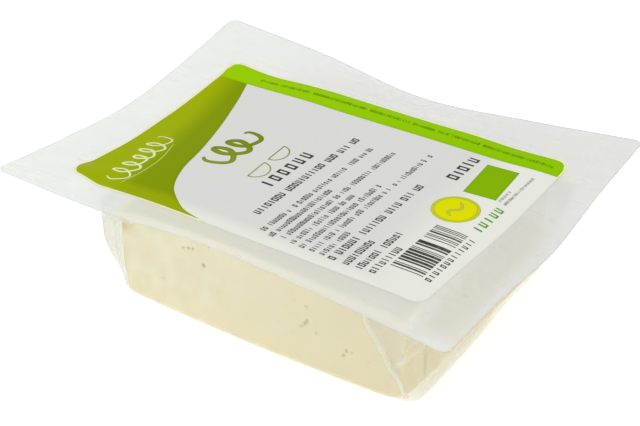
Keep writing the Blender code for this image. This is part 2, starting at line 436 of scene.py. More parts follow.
def set_soy_curd():
    """Pressed tofu: a wet protein gel that scatters light a few millimetres deep, so it glows softly cream.

    The lower part is painted warmer, as painted light bounced up from the floor, and the right end is painted
    darker, as painted shade. Clouds 6 mm wide mottle it, tiny pores are dots of painted shade, dents are
    painted browner with painted shade, and cut curds about 0.9 mm wide roughen it.
    """
    material, tree, shader, place = new_material("set_soy_curd")
    where = add_node(tree, "ShaderNodeSeparateXYZ", links={0: place})
    height = where.outputs["Z"]
    # Painted light: warmer low down, for light bounced up from the white floor.
    low_bounce_light = add_node(
        tree,
        "ShaderNodeMapRange",
        {"From Min": 1.0, "From Max": 13.0, "To Min": 1.0, "To Max": 0.0},
        {"Value": height},
        interpolation_type="SMOOTHSTEP",
    )
    base = add_node(
        tree,
        "ShaderNodeMix",
        {6: colour("E9E7D0"), 7: colour("F0E8C9")},
        {0: low_bounce_light.outputs[0]},
        data_type="RGBA",
    )
    # Painted shade: darker towards the right end, whose face lies in shade.
    right_end_shade = add_node(
        tree,
        "ShaderNodeMapRange",
        {"From Min": -15.0, "From Max": 62.0, "To Min": 0.0, "To Max": 1.0},
        {"Value": where.outputs["X"]},
    )
    right_end_shaded = add_node(
        tree,
        "ShaderNodeMix",
        {7: colour("DFD8BA")},
        {0: right_end_shade.outputs[0], 6: base.outputs[2]},
        data_type="RGBA",
    )
    clouds = add_node(tree, "ShaderNodeTexNoise", {"Scale": 1.0 / 6.0, "Detail": 5.0}, {"Vector": place})
    clouding = add_node(
        tree,
        "ShaderNodeMapRange",
        {"From Min": 0.38, "From Max": 0.66, "To Min": 0.0, "To Max": 0.7},
        {"Value": clouds.outputs["Fac"]},
    )
    clouded = add_node(
        tree,
        "ShaderNodeMix",
        {7: colour("E3DBBC")},
        {0: clouding.outputs[0], 6: right_end_shaded.outputs[2]},
        data_type="RGBA",
    )
    # Painted shade: tiny pores are dots painted darker, for the shade inside them.
    cells = add_node(
        tree, "ShaderNodeTexVoronoi", {"Scale": 1.0 / 3.4, "Randomness": 1.0}, {"Vector": place}
    )
    chance = add_node(tree, "ShaderNodeSeparateColor", links={0: cells.outputs["Color"]})
    pore_size = add_node(
        tree,
        "ShaderNodeMapRange",
        {"From Min": 0.62, "From Max": 1.0, "To Min": 0.0, "To Max": 0.095},
        {"Value": chance.outputs[0]},
    )
    pore = add_node(
        tree,
        "ShaderNodeMath",
        links={0: cells.outputs["Distance"], 1: pore_size.outputs[0]},
        operation="LESS_THAN",
    )
    pore_shade_dotted = add_node(
        tree,
        "ShaderNodeMix",
        {7: colour("BFB380")},
        {0: pore.outputs[0], 6: clouded.outputs[2]},
        data_type="RGBA",
    )
    # Painted shade: the dents are painted browner and darker, for the shade in them.
    dent = add_node(tree, "ShaderNodeAttribute", attribute_name="dent").outputs["Fac"]
    dent_shaded = add_node(
        tree,
        "ShaderNodeMix",
        {7: colour("A89A62")},
        {0: dent, 6: pore_shade_dotted.outputs[2]},
        data_type="RGBA",
    )
    # Painted shade: a warm dark spot at the top of the front face by its left edge, under the hanging film.
    to_corner_shade = add_node(tree, "ShaderNodeVectorMath", {1: CORNER_SHADE_SPOT}, {0: place}, operation="DISTANCE")
    corner_shade = add_node(
        tree,
        "ShaderNodeMapRange",
        {"From Min": 0.8, "From Max": 5.0, "To Min": 1.0, "To Max": 0.0},
        {"Value": to_corner_shade.outputs["Value"]},
        interpolation_type="SMOOTHSTEP",
    )
    corner_shaded = add_node(
        tree,
        "ShaderNodeMix",
        {7: colour("D8BF86")},
        {0: corner_shade.outputs[0], 6: dent_shaded.outputs[2]},
        data_type="RGBA",
    )
    tree.links.new(corner_shaded.outputs[2], shader.inputs["Base Color"])
    curds = add_node(tree, "ShaderNodeTexNoise", {"Scale": 1.0 / 0.9, "Detail": 4.0}, {"Vector": place})
    wetness = add_node(
        tree,
        "ShaderNodeMapRange",
        {"From Min": 0.3, "From Max": 0.7, "To Min": 0.34, "To Max": 0.52},
        {"Value": clouds.outputs["Fac"]},
    )
    tree.links.new(wetness.outputs[0], shader.inputs["Roughness"])
    bump = add_node(
        tree, "ShaderNodeBump", {"Strength": 0.25, "Distance": 0.05 * MM}, {"Height": curds.outputs["Fac"]}
    )
    tree.links.new(bump.outputs[0], shader.inputs["Normal"])
    shader.inputs["IOR"].default_value = 1.38
    shader.inputs["Subsurface Weight"].default_value = 0.55
    shader.inputs["Subsurface Radius"].default_value = (1.0, 0.75, 0.4)
    shader.inputs["Subsurface Scale"].default_value = 1.8 * MM
    return material


make_tofu_block()

# ----------------------------------------------------------------------------------------------------------
# The formed film. A clear, soft sheet drawn by heat and vacuum into the pocket that holds the block, with
# its margin left flat as the flange's lower half. It clings to the block's front and foot, hangs slack in
# slanting webs at the ends, and gathers into pleats at the corners, where its layers turn whitish.
# ----------------------------------------------------------------------------------------------------------
FILM_THICKNESS = 0.10 * MM
LID_THICKNESS = 0.12 * MM
WELD_GAP = 0.02 * MM
FOOT_STAND_OFF = (0.7 * MM, 3.9 * MM, 0.6 * MM, 1.6 * MM, 3.5 * MM, 2.6 * MM)
MOUTH_STAND_OFF = (7.7 * MM, 8.9 * MM, 1.7 * MM, 5.6 * MM, 5.0 * MM, 2.2 * MM)
FOOT_RADIUS = 2.0 * MM
SLACK_END = 0.62
FILM_STEPS = (230, 120, 90, 100)
FILM_CORNER_STEPS = 10
FILM_FOOT_RINGS = 5
FILM_WALL_RINGS = 44
FILM_FLANGE_RINGS = 18

# The two folds at each corner, in millimetres: round the pocket from the corner (minus along the long side,
# plus along the end) and up. The outer fold starts at the foot and the inner one above it, and the film
# between the two is gathered double.
FOLDS = {
    "front right": (
        ((-3.0, 3.0), (-6.0, 7.4), (-11.0, 11.4), (-15.2, 16.6), (-19.4, 22.4), (-20.6, 27.0)),
        ((-9.2, 13.6), (-6.4, 18.0), (-2.6, 22.0), (0.5, 27.0)),
    ),
    "front left": (
        ((-0.8, 2.5), (-3.3, 7.6), (-6.1, 11.4), (-7.6, 14.5), (-7.7, 27.0)),
        ((-7.4, 14.4), (-7.5, 27.0)),
    ),
    "back right": (((-0.6, 4.0), (-5.0, 14.0), (-10.0, 27.0)), ((1.6, 12.0), (4.6, 19.0), (7.0, 27.0))),
    "back left": (((-0.6, 5.0), (-5.5, 14.0), (-11.0, 27.0)), ((1.8, 13.0), (5.0, 20.0), (8.0, 27.0))),
}
CREASE_HEIGHT = 0.28 * MM
CREASE_WIDTH = 1.15
GATHERED_HOLLOW = 0.35 * MM
CRINKLE_HEIGHT = 0.16 * MM
CRINKLE_LENGTH = 7.0 * MM

# How far off the block the film starts to hang slack, and over what distance it comes to hang free.
SLACK_START = 0.6 * MM
SLACK_REACH = 5.5 * MM

# How far the right end of the film is drawn in, where that starts behind the block's front and is whole, and
# at what height it stops.
END_DRAW = 3.6 * MM
END_DRAW_START = 30.0 * MM
END_DRAW_REACH = 28.0 * MM
END_DRAW_TOP = 26.0 * MM

# How milky the film is, from 0 to 1: hanging free at the left and right ends, gathered, and creased. Along
# the creases it is partly milky folded layers and partly a painted highlight.
END_HAZE = (0.30, 0.25)
GATHERED_HAZE = 0.22
CREASE_HAZE_AND_HIGHLIGHT = 0.70

# Where the film hangs from the flange it veils the top of the block's front left edge.
VEIL_END = -23.0 * MM
VEIL_FOOT = 23.6 * MM
VEIL_SLOPE = 0.2
VEIL_LEVEL = 9.0 * MM
VEIL_HAZE = 0.55

# The margin's unevenness: long ripples across it, sharper crinkles over the gap past the block's right end,
# and a fine one all over. Each has its height and its lengths; the gap is where it starts, is whole, fades
# and ends, in millimetres.
RIPPLE_HEIGHT = 0.22 * MM
RIPPLE_LENGTHS = (52.0 * MM, 8.0 * MM)
GAP_CRINKLE_HEIGHT = 0.9 * MM
GAP_CRINKLE_LENGTHS = (6.0 * MM, 15.0 * MM)
GAP_PLACE = (61.0, 64.0, 67.0, 71.0)
FINE_HEIGHT = 0.035 * MM
FINE_LENGTH = 2.6 * MM

label_low, label_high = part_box("label")


def outside_label(x, y):
    """How far a place lies outside the label, in metres; 0 under it."""
    past_x = max(label_low.x - x, x - label_high.x, 0.0)
    past_y = max(label_low.y - y, y - label_high.y, 0.0)
    return math.hypot(past_x, past_y)


def flange_height(x, y):
    """The lid's height with its unevenness: ripples along the margin and crinkles over the end gap."""
    free = smooth_step((outside_label(x, y) - 0.5 * MM) / (6.0 * MM))
    ripples = RIPPLE_HEIGHT * noise.noise(Vector((x / RIPPLE_LENGTHS[0], y / RIPPLE_LENGTHS[1], 0.3)))
    across = (x + 0.5 * y) / GAP_CRINKLE_LENGTHS[0]
    along = (y - 0.5 * x) / GAP_CRINKLE_LENGTHS[1]
    creased = 0.5 - abs(noise.noise(Vector((across, along, 4.0))))
    crinkles = GAP_CRINKLE_HEIGHT * creased * window(x, *GAP_PLACE)
    fine = FINE_HEIGHT * noise.noise(Vector((x / FINE_LENGTH, y / FINE_LENGTH, 7.0)))
    inside = min(x - flange_low.x, flange_high.x - x, y - flange_low.y, flange_high.y - y)
    return lid_height(x, y) + (ripples + crinkles + fine) * free * smooth_step(inside / (3.0 * MM))


def distance_to_segment(point, start, end):
    """Distance from a point to a straight line between two others, in the plane."""
    along_x, along_y = end[0] - start[0], end[1] - start[1]
    share = (point[0] - start[0]) * along_x + (point[1] - start[1]) * along_y
    share = min(max(share / (along_x**2 + along_y**2), 0.0), 1.0)
    return math.hypot(point[0] - start[0] - share * along_x, point[1] - start[1] - share * along_y)


def nearest_on_path(point, path):
    """Distance from a point to the nearest stretch of a path."""
    return min(distance_to_segment(point, start, end) for start, end in zip(path, path[1:]))


def depth_inside(point, outline):
    """How far a point lies inside a closed outline, negative outside it."""
    inside = False
    closed = outline + outline[:1]
    for (ax, ay), (bx, by) in zip(closed, closed[1:]):
        if (ay > point[1]) != (by > point[1]) and point[0] < ax + (point[1] - ay) / (by - ay) * (bx - ax):
            inside = not inside
    away = nearest_on_path(point, closed)
    return away if inside else -away


pocket_foot = grown(block, *FOOT_STAND_OFF)
pocket_mouth = grown(block, *MOUTH_STAND_OFF)
flange = rectangle((0.0, 0.0), FLANGE_LENGTH, FLANGE_DEPTH, FLANGE_CORNER_RADIUS)


def wall_shape(rise):
    """Outline of the pocket a share of the way up its wall: slack low down, upright above."""
    return between(pocket_foot, pocket_mouth, smooth_step(rise / SLACK_END))


def at_corner(place, shape):
    """The folds of the corner a place is nearest to, and where it is in their own millimetres."""
    left, right, front, back = shape[:4]
    to_side = min((abs(place.y - front), "front"), (abs(place.y - back), "back"))
    to_end = min((abs(place.x - left), "left"), (abs(place.x - right), "right"))
    return FOLDS[to_side[1] + " " + to_end[1]], ((to_side[0] - to_end[0]) / MM, place.z / MM)


def gather(place, shape):
    """How sharply the film is creased, and how far it lies in double folds, at a place on the wall."""
    (outer, inner), point = at_corner(place, shape)
    away = min(nearest_on_path(point, outer), nearest_on_path(point, inner))
    crease = smooth_step(1.0 - away / CREASE_WIDTH)
    return crease, smooth_step((depth_inside(point, outer + inner[::-1]) + 0.3) / 1.2)


def film_slack(x, y):
    """How far the film stands off the block's sides, from 0, clinging, to 1, hanging free."""
    past_x = max(block[0] - x, x - block[1], 0.0)
    past_y = max(block[2] - y, y - block[3], 0.0)
    return smooth_step((math.hypot(past_x, past_y) - SLACK_START) / SLACK_REACH)


def end_draw(place):
    """How far the right end of the film is drawn in, under the flange and away from the front corner."""
    out = smooth_step((place[0] - block[1] + 2.0 * MM) / (10.0 * MM))
    back = smooth_step((place[1] - block[2] - END_DRAW_START) / END_DRAW_REACH)
    return END_DRAW * out * back * smooth_step((END_DRAW_TOP - place[2]) / (10.0 * MM))


def veil_haze(place):
    """How milky the film is where it hangs down over the block's front left edge."""
    past_veil = place[0] - VEIL_END
    veil_foot = VEIL_FOOT + VEIL_SLOPE * max(past_veil + VEIL_LEVEL, 0.0)
    return VEIL_HAZE * smooth_step((place[2] - veil_foot) / (0.9 * MM)) * smooth_step(-past_veil / (3.0 * MM))


def make_formed_film():
    """Rings from the foot up the wall and out along the flange, creased, and as thick as the film."""
    drop = LID_THICKNESS + WELD_GAP + FILM_THICKNESS
    rings = []
    shapes = []
    for step in range(FILM_FOOT_RINGS):
        angle = math.radians(90.0 * step / FILM_FOOT_RINGS)
        inset = FOOT_RADIUS * (1.0 - math.sin(angle))
        height = FOOT_RADIUS * (1.0 - math.cos(angle))
        rounding = grown(pocket_foot, -inset, -inset, -inset, -inset, *FOOT_STAND_OFF[4:])
        rings.append([(x, y, height) for x, y in ring_points(rounding, FILM_STEPS, FILM_CORNER_STEPS)])
        shapes.append(rounding)
    for step in range(FILM_WALL_RINGS):
        rise = step / FILM_WALL_RINGS
        shape = wall_shape(rise)
        ring = []
        for x, y in ring_points(shape, FILM_STEPS, FILM_CORNER_STEPS):
            ring.append((x, y, blend(FOOT_RADIUS, flange_height(x, y) - drop, rise)))
        rings.append(ring)
        shapes.append(shape)
    for step in range(FILM_FLANGE_RINGS + 1):
        shape = between(pocket_mouth, flange, step / FILM_FLANGE_RINGS)
        ring = ring_points(shape, FILM_STEPS, FILM_CORNER_STEPS)
        rings.append([(x, y, flange_height(x, y) - drop) for x, y in ring])
        shapes.append(None)
    skin = lofted_skin(rings, ("first",))

    haze_layer = skin.verts.layers.float.new("haze")
    skin.verts.ensure_lookup_table()
    count = len(rings[0])
    moves = []
    for index, vert in enumerate(skin.verts):
        shape = shapes[index // count]
        if shape is None:
            continue
        crease, gathered = gather(vert.co, shape)
        slack = film_slack(vert.co.x, vert.co.y)
        on_wall = smooth_step((vert.co.z - 1.0 * MM) / (2.0 * MM))
        crinkle = CRINKLE_HEIGHT * noise.noise(vert.co / CRINKLE_LENGTH) * slack
        hollow = -GATHERED_HOLLOW * gathered * slack
        waves = face_waves(vert.co) * (1.0 - slack)
        moves.append((vert, vert.normal * (CREASE_HEIGHT * crease + crinkle + hollow + waves) * on_wall))
        loose = slack * (END_HAZE[0] if vert.co.x < block[0] else END_HAZE[1])
        # Along the creases the film is partly milky folded layers and partly a painted highlight.
        fold_haze_and_highlight = GATHERED_HAZE * gathered + CREASE_HAZE_AND_HIGHLIGHT * crease
        vert[haze_layer] = min(1.0, loose + fold_haze_and_highlight + veil_haze(vert.co)) * on_wall
    for vert, move in moves:
        vert.co += move
    for vert in skin.verts:
        vert.co += Vector((-end_draw(vert.co), -front_bulge(vert.co), corner_lift(vert.co)))
    skin.normal_update()
    film = finished_piece("formed_film", skin, clear_pack_film())
    wall = film.modifiers.new("Film", "SOLIDIFY")
    wall.thickness = FILM_THICKNESS
    wall.offset = -1.0
    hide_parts("filled_pocket")


def milky_sheet(tree, shader, tint, cover, through):
    """Make a thin sheet of the shader: a share, cover, is milky, and lets a part, through, of light on."""
    glow = add_node(tree, "ShaderNodeBsdfTranslucent", links={"Color": tint})
    normal = shader.inputs["Normal"].links[0].from_socket
    tree.links.new(normal, glow.inputs["Normal"])
    milk = add_node(tree, "ShaderNodeMixShader", {0: through}, {1: shader.outputs[0], 2: glow.outputs[0]})
    clear = add_node(tree, "ShaderNodeBsdfTransparent")
    sheet = add_node(tree, "ShaderNodeMixShader", links={0: cover, 1: clear.outputs[0], 2: milk.outputs[0]})
    tree.links.new(sheet.outputs[0], tree.nodes["Material Output"].inputs["Surface"])


def clear_pack_film():
    """Blown polyamide and polyethylene film: clear and glossy where it lies on the food, hazy in its folds.

    Seen edge-on, or in several layers, it turns milky, and each crease is drawn as a pale line that is partly
    milky folded layers and partly a painted highlight. It has fine crinkles 3 mm wide, and past the block's
    right end it looks a little yellower.
    """
    material, tree, shader, place = new_material("clear_pack_film")
    haze = add_node(tree, "ShaderNodeAttribute", attribute_name="haze").outputs["Fac"]
    edge_on = add_node(tree, "ShaderNodeLayerWeight", {"Blend": 0.35})
    edge_haze = add_node(
        tree,
        "ShaderNodeMapRange",
        {"From Min": 0.35, "From Max": 1.0, "To Min": 0.0, "To Max": 0.36},
        {"Value": edge_on.outputs["Facing"]},
    )
    body = add_node(
        tree,
        "ShaderNodeMapRange",
        {"From Min": 0.0, "From Max": 1.0, "To Min": 0.07, "To Max": 0.85},
        {"Value": haze},
    )
    loose = add_node(
        tree,
        "ShaderNodeMapRange",
        {"From Min": 0.0, "From Max": 0.3, "To Min": 0.1, "To Max": 1.0},
        {"Value": haze},
    )
    loose_edge = add_node(
        tree, "ShaderNodeMath", links={0: edge_haze.outputs[0], 1: loose.outputs[0]}, operation="MULTIPLY"
    )
    cover = add_node(
        tree,
        "ShaderNodeMath",
        links={0: loose_edge.outputs[0], 1: body.outputs[0]},
        operation="ADD",
        use_clamp=True,
    )
    loose_tint = add_node(
        tree,
        "ShaderNodeMix",
        {6: colour("EFEBCB"), 7: colour("F3F4EC")},
        {0: loose.outputs[0]},
        data_type="RGBA",
    )
    where = add_node(tree, "ShaderNodeSeparateXYZ", links={0: place})
    past_block = add_node(
        tree,
        "ShaderNodeMapRange",
        {"From Min": block[1] / MM, "From Max": block[1] / MM + 2.0},
        {"Value": where.outputs["X"]},
        interpolation_type="SMOOTHSTEP",
    )
    tint = add_node(
        tree,
        "ShaderNodeMix",
        {7: colour("F2ECD5")},
        {0: past_block.outputs[0], 6: loose_tint.outputs[2]},
        data_type="RGBA",
    )
    tree.links.new(tint.outputs[2], shader.inputs["Base Color"])
    crinkle = add_node(tree, "ShaderNodeTexNoise", {"Scale": 1.0 / 3.0, "Detail": 3.0}, {"Vector": place})
    gloss = add_node(
        tree,
        "ShaderNodeMapRange",
        {"From Min": 0.3, "From Max": 0.7, "To Min": 0.12, "To Max": 0.24},
        {"Value": crinkle.outputs["Fac"]},
    )
    tree.links.new(gloss.outputs[0], shader.inputs["Roughness"])
    bump = add_node(
        tree, "ShaderNodeBump", {"Strength": 0.3, "Distance": 0.12 * MM}, {"Height": crinkle.outputs["Fac"]}
    )
    tree.links.new(bump.outputs[0], shader.inputs["Normal"])
    shader.inputs["IOR"].default_value = 1.5
    milky_sheet(tree, shader, tint.outputs[2], cover.outputs[0], 0.45)
    return material


make_formed_film()

# ----------------------------------------------------------------------------------------------------------
# The lid film. A thicker milky laminate, sealed flat over the block and to the formed film all round. The
# wide margin was cut square with small round corners, and has curled and rippled since it left the sealer.
# ----------------------------------------------------------------------------------------------------------
LID_CELL = 0.75 * MM

# In millimetres: the part of the lid that lies on food, where it is painted lighter as painted light, and the
# gap past the block's right end, which a bent strip of shade follows. The last value of each is how softly it
# fades.
ON_FOOD = (-33.5, 64.5, -57.5, 26.0, 3.2)
ALONG_GAP = (55.0, 80.0, -54.0, 10.0, 5.0)
GAP_CENTRE = 65.2
GAP_LEAN = 0.1


def rounded_sheet_rows(low, high, radius, cell):
    """Rows of points that fill a rectangle with round corners, rows along +X one after another along +Y."""
    centre_x = 0.5 * (low[0] + high[0])
    centre_y = 0.5 * (low[1] + high[1])
    half_x = 0.5 * (high[0] - low[0])
    half_y = 0.5 * (high[1] - low[1])
    count_x = math.ceil(2.0 * half_x / cell)
    count_y = math.ceil(2.0 * half_y / cell)
    straight_x = half_x - radius
    straight_y = half_y - radius
    rows = []
    for j in range(count_y + 1):
        y = blend(-half_y, half_y, j / count_y)
        past_y = max(abs(y) - straight_y, 0.0)
        row = []
        for i in range(count_x + 1):
            x = blend(-half_x, half_x, i / count_x)
            past_x = max(abs(x) - straight_x, 0.0)
            squeezed_x = past_x * math.sqrt(1.0 - 0.5 * (past_y / radius) ** 2)
            squeezed_y = past_y * math.sqrt(1.0 - 0.5 * (past_x / radius) ** 2)
            row.append(
                (
                    centre_x + math.copysign(min(abs(x), straight_x) + squeezed_x, x),
                    centre_y + math.copysign(min(abs(y), straight_y) + squeezed_y, y),
                )
            )
        rows.append(row)
    return rows


def sheet_skin(rows, height):
    """A bmesh sheet through rows of points, each raised to height(x, y), facing up."""
    skin = bmesh.new()
    grid = [[skin.verts.new((x, y, height(x, y))) for x, y in row] for row in rows]
    for near, far in zip(grid, grid[1:]):
        for i in range(len(near) - 1):
            skin.faces.new((near[i], near[i + 1], far[i + 1], far[i]))
    bmesh.ops.remove_doubles(skin, verts=skin.verts, dist=0.001 * MM)
    skin.normal_update()
    return skin


def thicken(piece, thickness, offset):
    """Give a sheet its thickness, as a live Solidify."""
    wall = piece.modifiers.new("Thickness", "SOLIDIFY")
    wall.thickness = thickness
    wall.offset = offset


def make_lid():
    """The lid film over the whole flange, following its curl."""
    rows = rounded_sheet_rows(flange_low, flange_high, FLANGE_CORNER_RADIUS, LID_CELL)
    lid = finished_piece("milky_lid", sheet_skin(rows, flange_height), milky_laminate())
    thicken(lid, LID_THICKNESS, -1.0)
    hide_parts("lid_film")


def milky_laminate():
    """Lidding laminate: polyester over a white-tinted sealing layer, satin, and thin enough to glow.

    The food under it shows through as a faint warm cast, and there the lid is also painted lighter and more
    opaque, as painted light that lifts the shade under it. Flow marks about 7 mm wide and four times as long
    cloud its milkiness. It is painted slightly greyer towards the back right, as painted shade, and 2.2 mm
    crinkles catch the light.
    """
    material, tree, shader, place = new_material("milky_laminate")
    stretched = add_node(
        tree, "ShaderNodeMapping", {"Scale": (0.25, 1.0, 1.0)}, {"Vector": place}, vector_type="POINT"
    )
    flow = add_node(
        tree, "ShaderNodeTexNoise", {"Scale": 1.0 / 7.0, "Detail": 4.0}, {"Vector": stretched.outputs[0]}
    )
    tone = add_node(
        tree,
        "ShaderNodeMix",
        {6: colour("F6F8F5"), 7: colour("FBFCFA")},
        {0: flow.outputs["Fac"]},
        data_type="RGBA",
    )
    where = add_node(tree, "ShaderNodeSeparateXYZ", links={0: place})

    def within(low_x, high_x, low_y, high_y, soft):
        """A mask that is 1 inside a rectangle and fades out over a soft border."""
        mask = None
        for axis, outer, inner in (
            ("X", low_x, low_x + soft),
            ("X", high_x, high_x - soft),
            ("Y", low_y, low_y + soft),
            ("Y", high_y, high_y - soft),
        ):
            side = add_node(
                tree,
                "ShaderNodeMapRange",
                {"From Min": outer, "From Max": inner},
                {"Value": where.outputs[axis]},
                interpolation_type="SMOOTHSTEP",
            ).outputs[0]
            if mask is not None:
                both = add_node(tree, "ShaderNodeMath", links={0: mask, 1: side}, operation="MULTIPLY")
                side = both.outputs[0]
            mask = side
        return mask

    on_food = within(*ON_FOOD)
    across_gap = add_node(
        tree, "ShaderNodeVectorMath", {1: (1.0, GAP_LEAN, 0.0)}, {0: place}, operation="DOT_PRODUCT"
    )
    from_gap = add_node(
        tree, "ShaderNodeMath", {1: GAP_CENTRE}, {0: across_gap.outputs["Value"]}, operation="SUBTRACT"
    )
    off_gap = add_node(tree, "ShaderNodeMath", links={0: from_gap.outputs[0]}, operation="ABSOLUTE")
    gap_width = add_node(
        tree,
        "ShaderNodeMapRange",
        {"From Min": 6.5, "From Max": 2.6},
        {"Value": off_gap.outputs[0]},
        interpolation_type="SMOOTHSTEP",
    )
    over_gap = add_node(
        tree, "ShaderNodeMath", links={0: gap_width.outputs[0], 1: within(*ALONG_GAP)}, operation="MULTIPLY"
    )
    # Over the food: a faint warm cast from the food, and painted light that makes the lid lighter and more
    # opaque.
    food_cast_and_lift = add_node(
        tree,
        "ShaderNodeMix",
        {7: colour("FDFCEE")},
        {0: on_food, 6: tone.outputs[2]},
        data_type="RGBA",
    )
    shaded = add_node(
        tree,
        "ShaderNodeMix",
        {7: colour("F3F2E5")},
        {0: over_gap.outputs[0], 6: food_cast_and_lift.outputs[2]},
        data_type="RGBA",
    )
    # Painted shade: the lid is painted slightly greyer towards the back right.
    towards_back_right = add_node(
        tree, "ShaderNodeVectorMath", {1: (0.6, 0.8, 0.0)}, {0: place}, operation="DOT_PRODUCT"
    )
    back_right_shade = add_node(
        tree,
        "ShaderNodeMapRange",
        {"From Min": -40.0, "From Max": 85.0, "To Min": 0.0, "To Max": 1.0},
        {"Value": towards_back_right.outputs["Value"]},
    )
    back_right_shaded = add_node(
        tree,
        "ShaderNodeMix",
        {7: colour("EFF0EE")},
        {0: back_right_shade.outputs[0], 6: shaded.outputs[2]},
        data_type="RGBA",
    )
    tree.links.new(back_right_shaded.outputs[2], shader.inputs["Base Color"])
    cloud = add_node(
        tree,
        "ShaderNodeMapRange",
        {"From Min": 0.3, "From Max": 0.7, "To Min": 0.74, "To Max": 0.79},
        {"Value": flow.outputs["Fac"]},
    )
    cover = add_node(
        tree, "ShaderNodeMix", {3: 0.93}, {0: on_food, 2: cloud.outputs[0]}, data_type="FLOAT"
    )
    satin = add_node(
        tree,
        "ShaderNodeMapRange",
        {"From Min": 0.3, "From Max": 0.7, "To Min": 0.24, "To Max": 0.36},
        {"Value": flow.outputs["Fac"]},
    )
    tree.links.new(satin.outputs[0], shader.inputs["Roughness"])
    crinkle = add_node(tree, "ShaderNodeTexNoise", {"Scale": 1.0 / 2.2, "Detail": 3.0}, {"Vector": place})
    bump = add_node(
        tree, "ShaderNodeBump", {"Strength": 0.3, "Distance": 0.06 * MM}, {"Height": crinkle.outputs["Fac"]}
    )
    tree.links.new(bump.outputs[0], shader.inputs["Normal"])
    shader.inputs["IOR"].default_value = 1.5
    milky_sheet(tree, shader, back_right_shaded.outputs[2], cover.outputs[0], 0.25)
    return material


make_lid()

# ----------------------------------------------------------------------------------------------------------
# The label. Coated white paper, die-cut with round corners and stuck on the lid, which it follows. It is
# printed in a few flat inks: a lime band, an olive field with a sweeping edge, and dark rows of small print.
# ----------------------------------------------------------------------------------------------------------
LABEL_THICKNESS = 0.04 * MM
LABEL_CORNER_RADIUS = 4.4 * MM
LABEL_CLEARANCE = 0.014 * MM
LABEL_CELL_MM = 0.7
LABEL_LENGTH_MM = (label_high.x - label_low.x) / MM
LABEL_DEPTH_MM = (label_high.y - label_low.y) / MM

# The label is a little out of square: how far its left edge bows out at the back, and its front edge, and
# how far the front left corner is drawn in. Its paper goes on past the colours by a narrow border.
LEFT_BOW = 2.0
FRONT_BOW = 1.1
CORNER_PULL = 1.7
PAPER_BORDER = 0.35

# In millimetres: where the paper's front margin, painted paler as painted light, ends, and where its right
# part, painted paler as painted light too, starts.
LIT_FRONT_MARGIN = (-45.5, -39.0)
LIT_RIGHT_PART = (34.0, 52.0)


def on_label(along, back):
    """A place on the label, from millimetres along it and back from its front left corner."""
    bow = LEFT_BOW * smooth_step((back - 21.0) / 26.0) * (1.0 - smooth_step(along / 14.0))
    bow -= CORNER_PULL * (1.0 - smooth_step(along / 8.0)) * (1.0 - smooth_step(back / 8.0))
    sag = FRONT_BOW * (1.0 - smooth_step(back / 6.0))
    return label_low.x + (along - bow) * MM, label_low.y + (back - sag) * MM


def paper_top(x, y):
    """Height of the label's printed face."""
    return lid_height(x, y) + LABEL_CLEARANCE + LABEL_THICKNESS


def make_label():
    """The paper itself."""
    low = (-PAPER_BORDER, -PAPER_BORDER)
    high = (LABEL_LENGTH_MM, LABEL_DEPTH_MM + PAPER_BORDER)
    rows = rounded_sheet_rows(low, high, LABEL_CORNER_RADIUS / MM + PAPER_BORDER, LABEL_CELL_MM)
    placed = [[on_label(*place) for place in row] for row in rows]
    label = finished_piece("paper_label", sheet_skin(placed, paper_top), coated_paper())
    thicken(label, LABEL_THICKNESS, -1.0)
    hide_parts("label")
    return label


def coated_paper():
    """Clay-coated label paper: a smooth, slightly grey white with a satin face and a faint fibre cloud."""
    material, tree, shader, place = new_material("coated_paper")
    fibre = add_node(tree, "ShaderNodeTexNoise", {"Scale": 1.0 / 1.6, "Detail": 5.0}, {"Vector": place})
    tone = add_node(
        tree,
        "ShaderNodeMix",
        {6: colour("E1E2DD"), 7: colour("E5E6E1")},
        {0: fibre.outputs["Fac"]},
        data_type="RGBA",
    )
    where = add_node(tree, "ShaderNodeSeparateXYZ", links={0: place})
    # Painted light: the paper is painted paler near its front edge and over its right part.
    near_front = add_node(
        tree,
        "ShaderNodeMapRange",
        {"From Min": LIT_FRONT_MARGIN[0], "From Max": LIT_FRONT_MARGIN[1], "To Min": 1.0, "To Max": 0.0},
        {"Value": where.outputs["Y"]},
        interpolation_type="SMOOTHSTEP",
    )
    near_right = add_node(
        tree,
        "ShaderNodeMapRange",
        {"From Min": LIT_RIGHT_PART[0], "From Max": LIT_RIGHT_PART[1]},
        {"Value": where.outputs["X"]},
        interpolation_type="SMOOTHSTEP",
    )
    painted_light_margin = add_node(
        tree,
        "ShaderNodeMath",
        links={0: near_front.outputs[0], 1: near_right.outputs[0]},
        operation="MAXIMUM",
    )
    margin_lit_tone = add_node(
        tree,
        "ShaderNodeMix",
        {7: colour("F2F3EA")},
        {0: painted_light_margin.outputs[0], 6: tone.outputs[2]},
        data_type="RGBA",
    )
    tree.links.new(margin_lit_tone.outputs[2], shader.inputs["Base Color"])
    satin = add_node(
        tree,
        "ShaderNodeMapRange",
        {"From Min": 0.3, "From Max": 0.7, "To Min": 0.38, "To Max": 0.5},
        {"Value": fibre.outputs["Fac"]},
    )
    tree.links.new(satin.outputs[0], shader.inputs["Roughness"])
    bump = add_node(
        tree, "ShaderNodeBump", {"Strength": 0.15, "Distance": 0.02 * MM}, {"Height": fibre.outputs["Fac"]}
    )
    tree.links.new(bump.outputs[0], shader.inputs["Normal"])
    shader.inputs["Specular IOR Level"].default_value = 0.12
    return material


paper_label = make_label()

# ----------------------------------------------------------------------------------------------------------
# The flat inks on the label, each a thin film on the paper: a lime band, an olive field and their pale edge
# line, a green panel, a yellow disc with a rim, and plain brush strokes and two bowls in place of headings.
# Places are in millimetres along the label and back from its front left corner.
# ----------------------------------------------------------------------------------------------------------
INK_THICKNESS = 0.02 * MM
INK_CLEARANCE = 0.018 * MM
BLEED = 0.45
CORNER_MM = LABEL_CORNER_RADIUS / MM

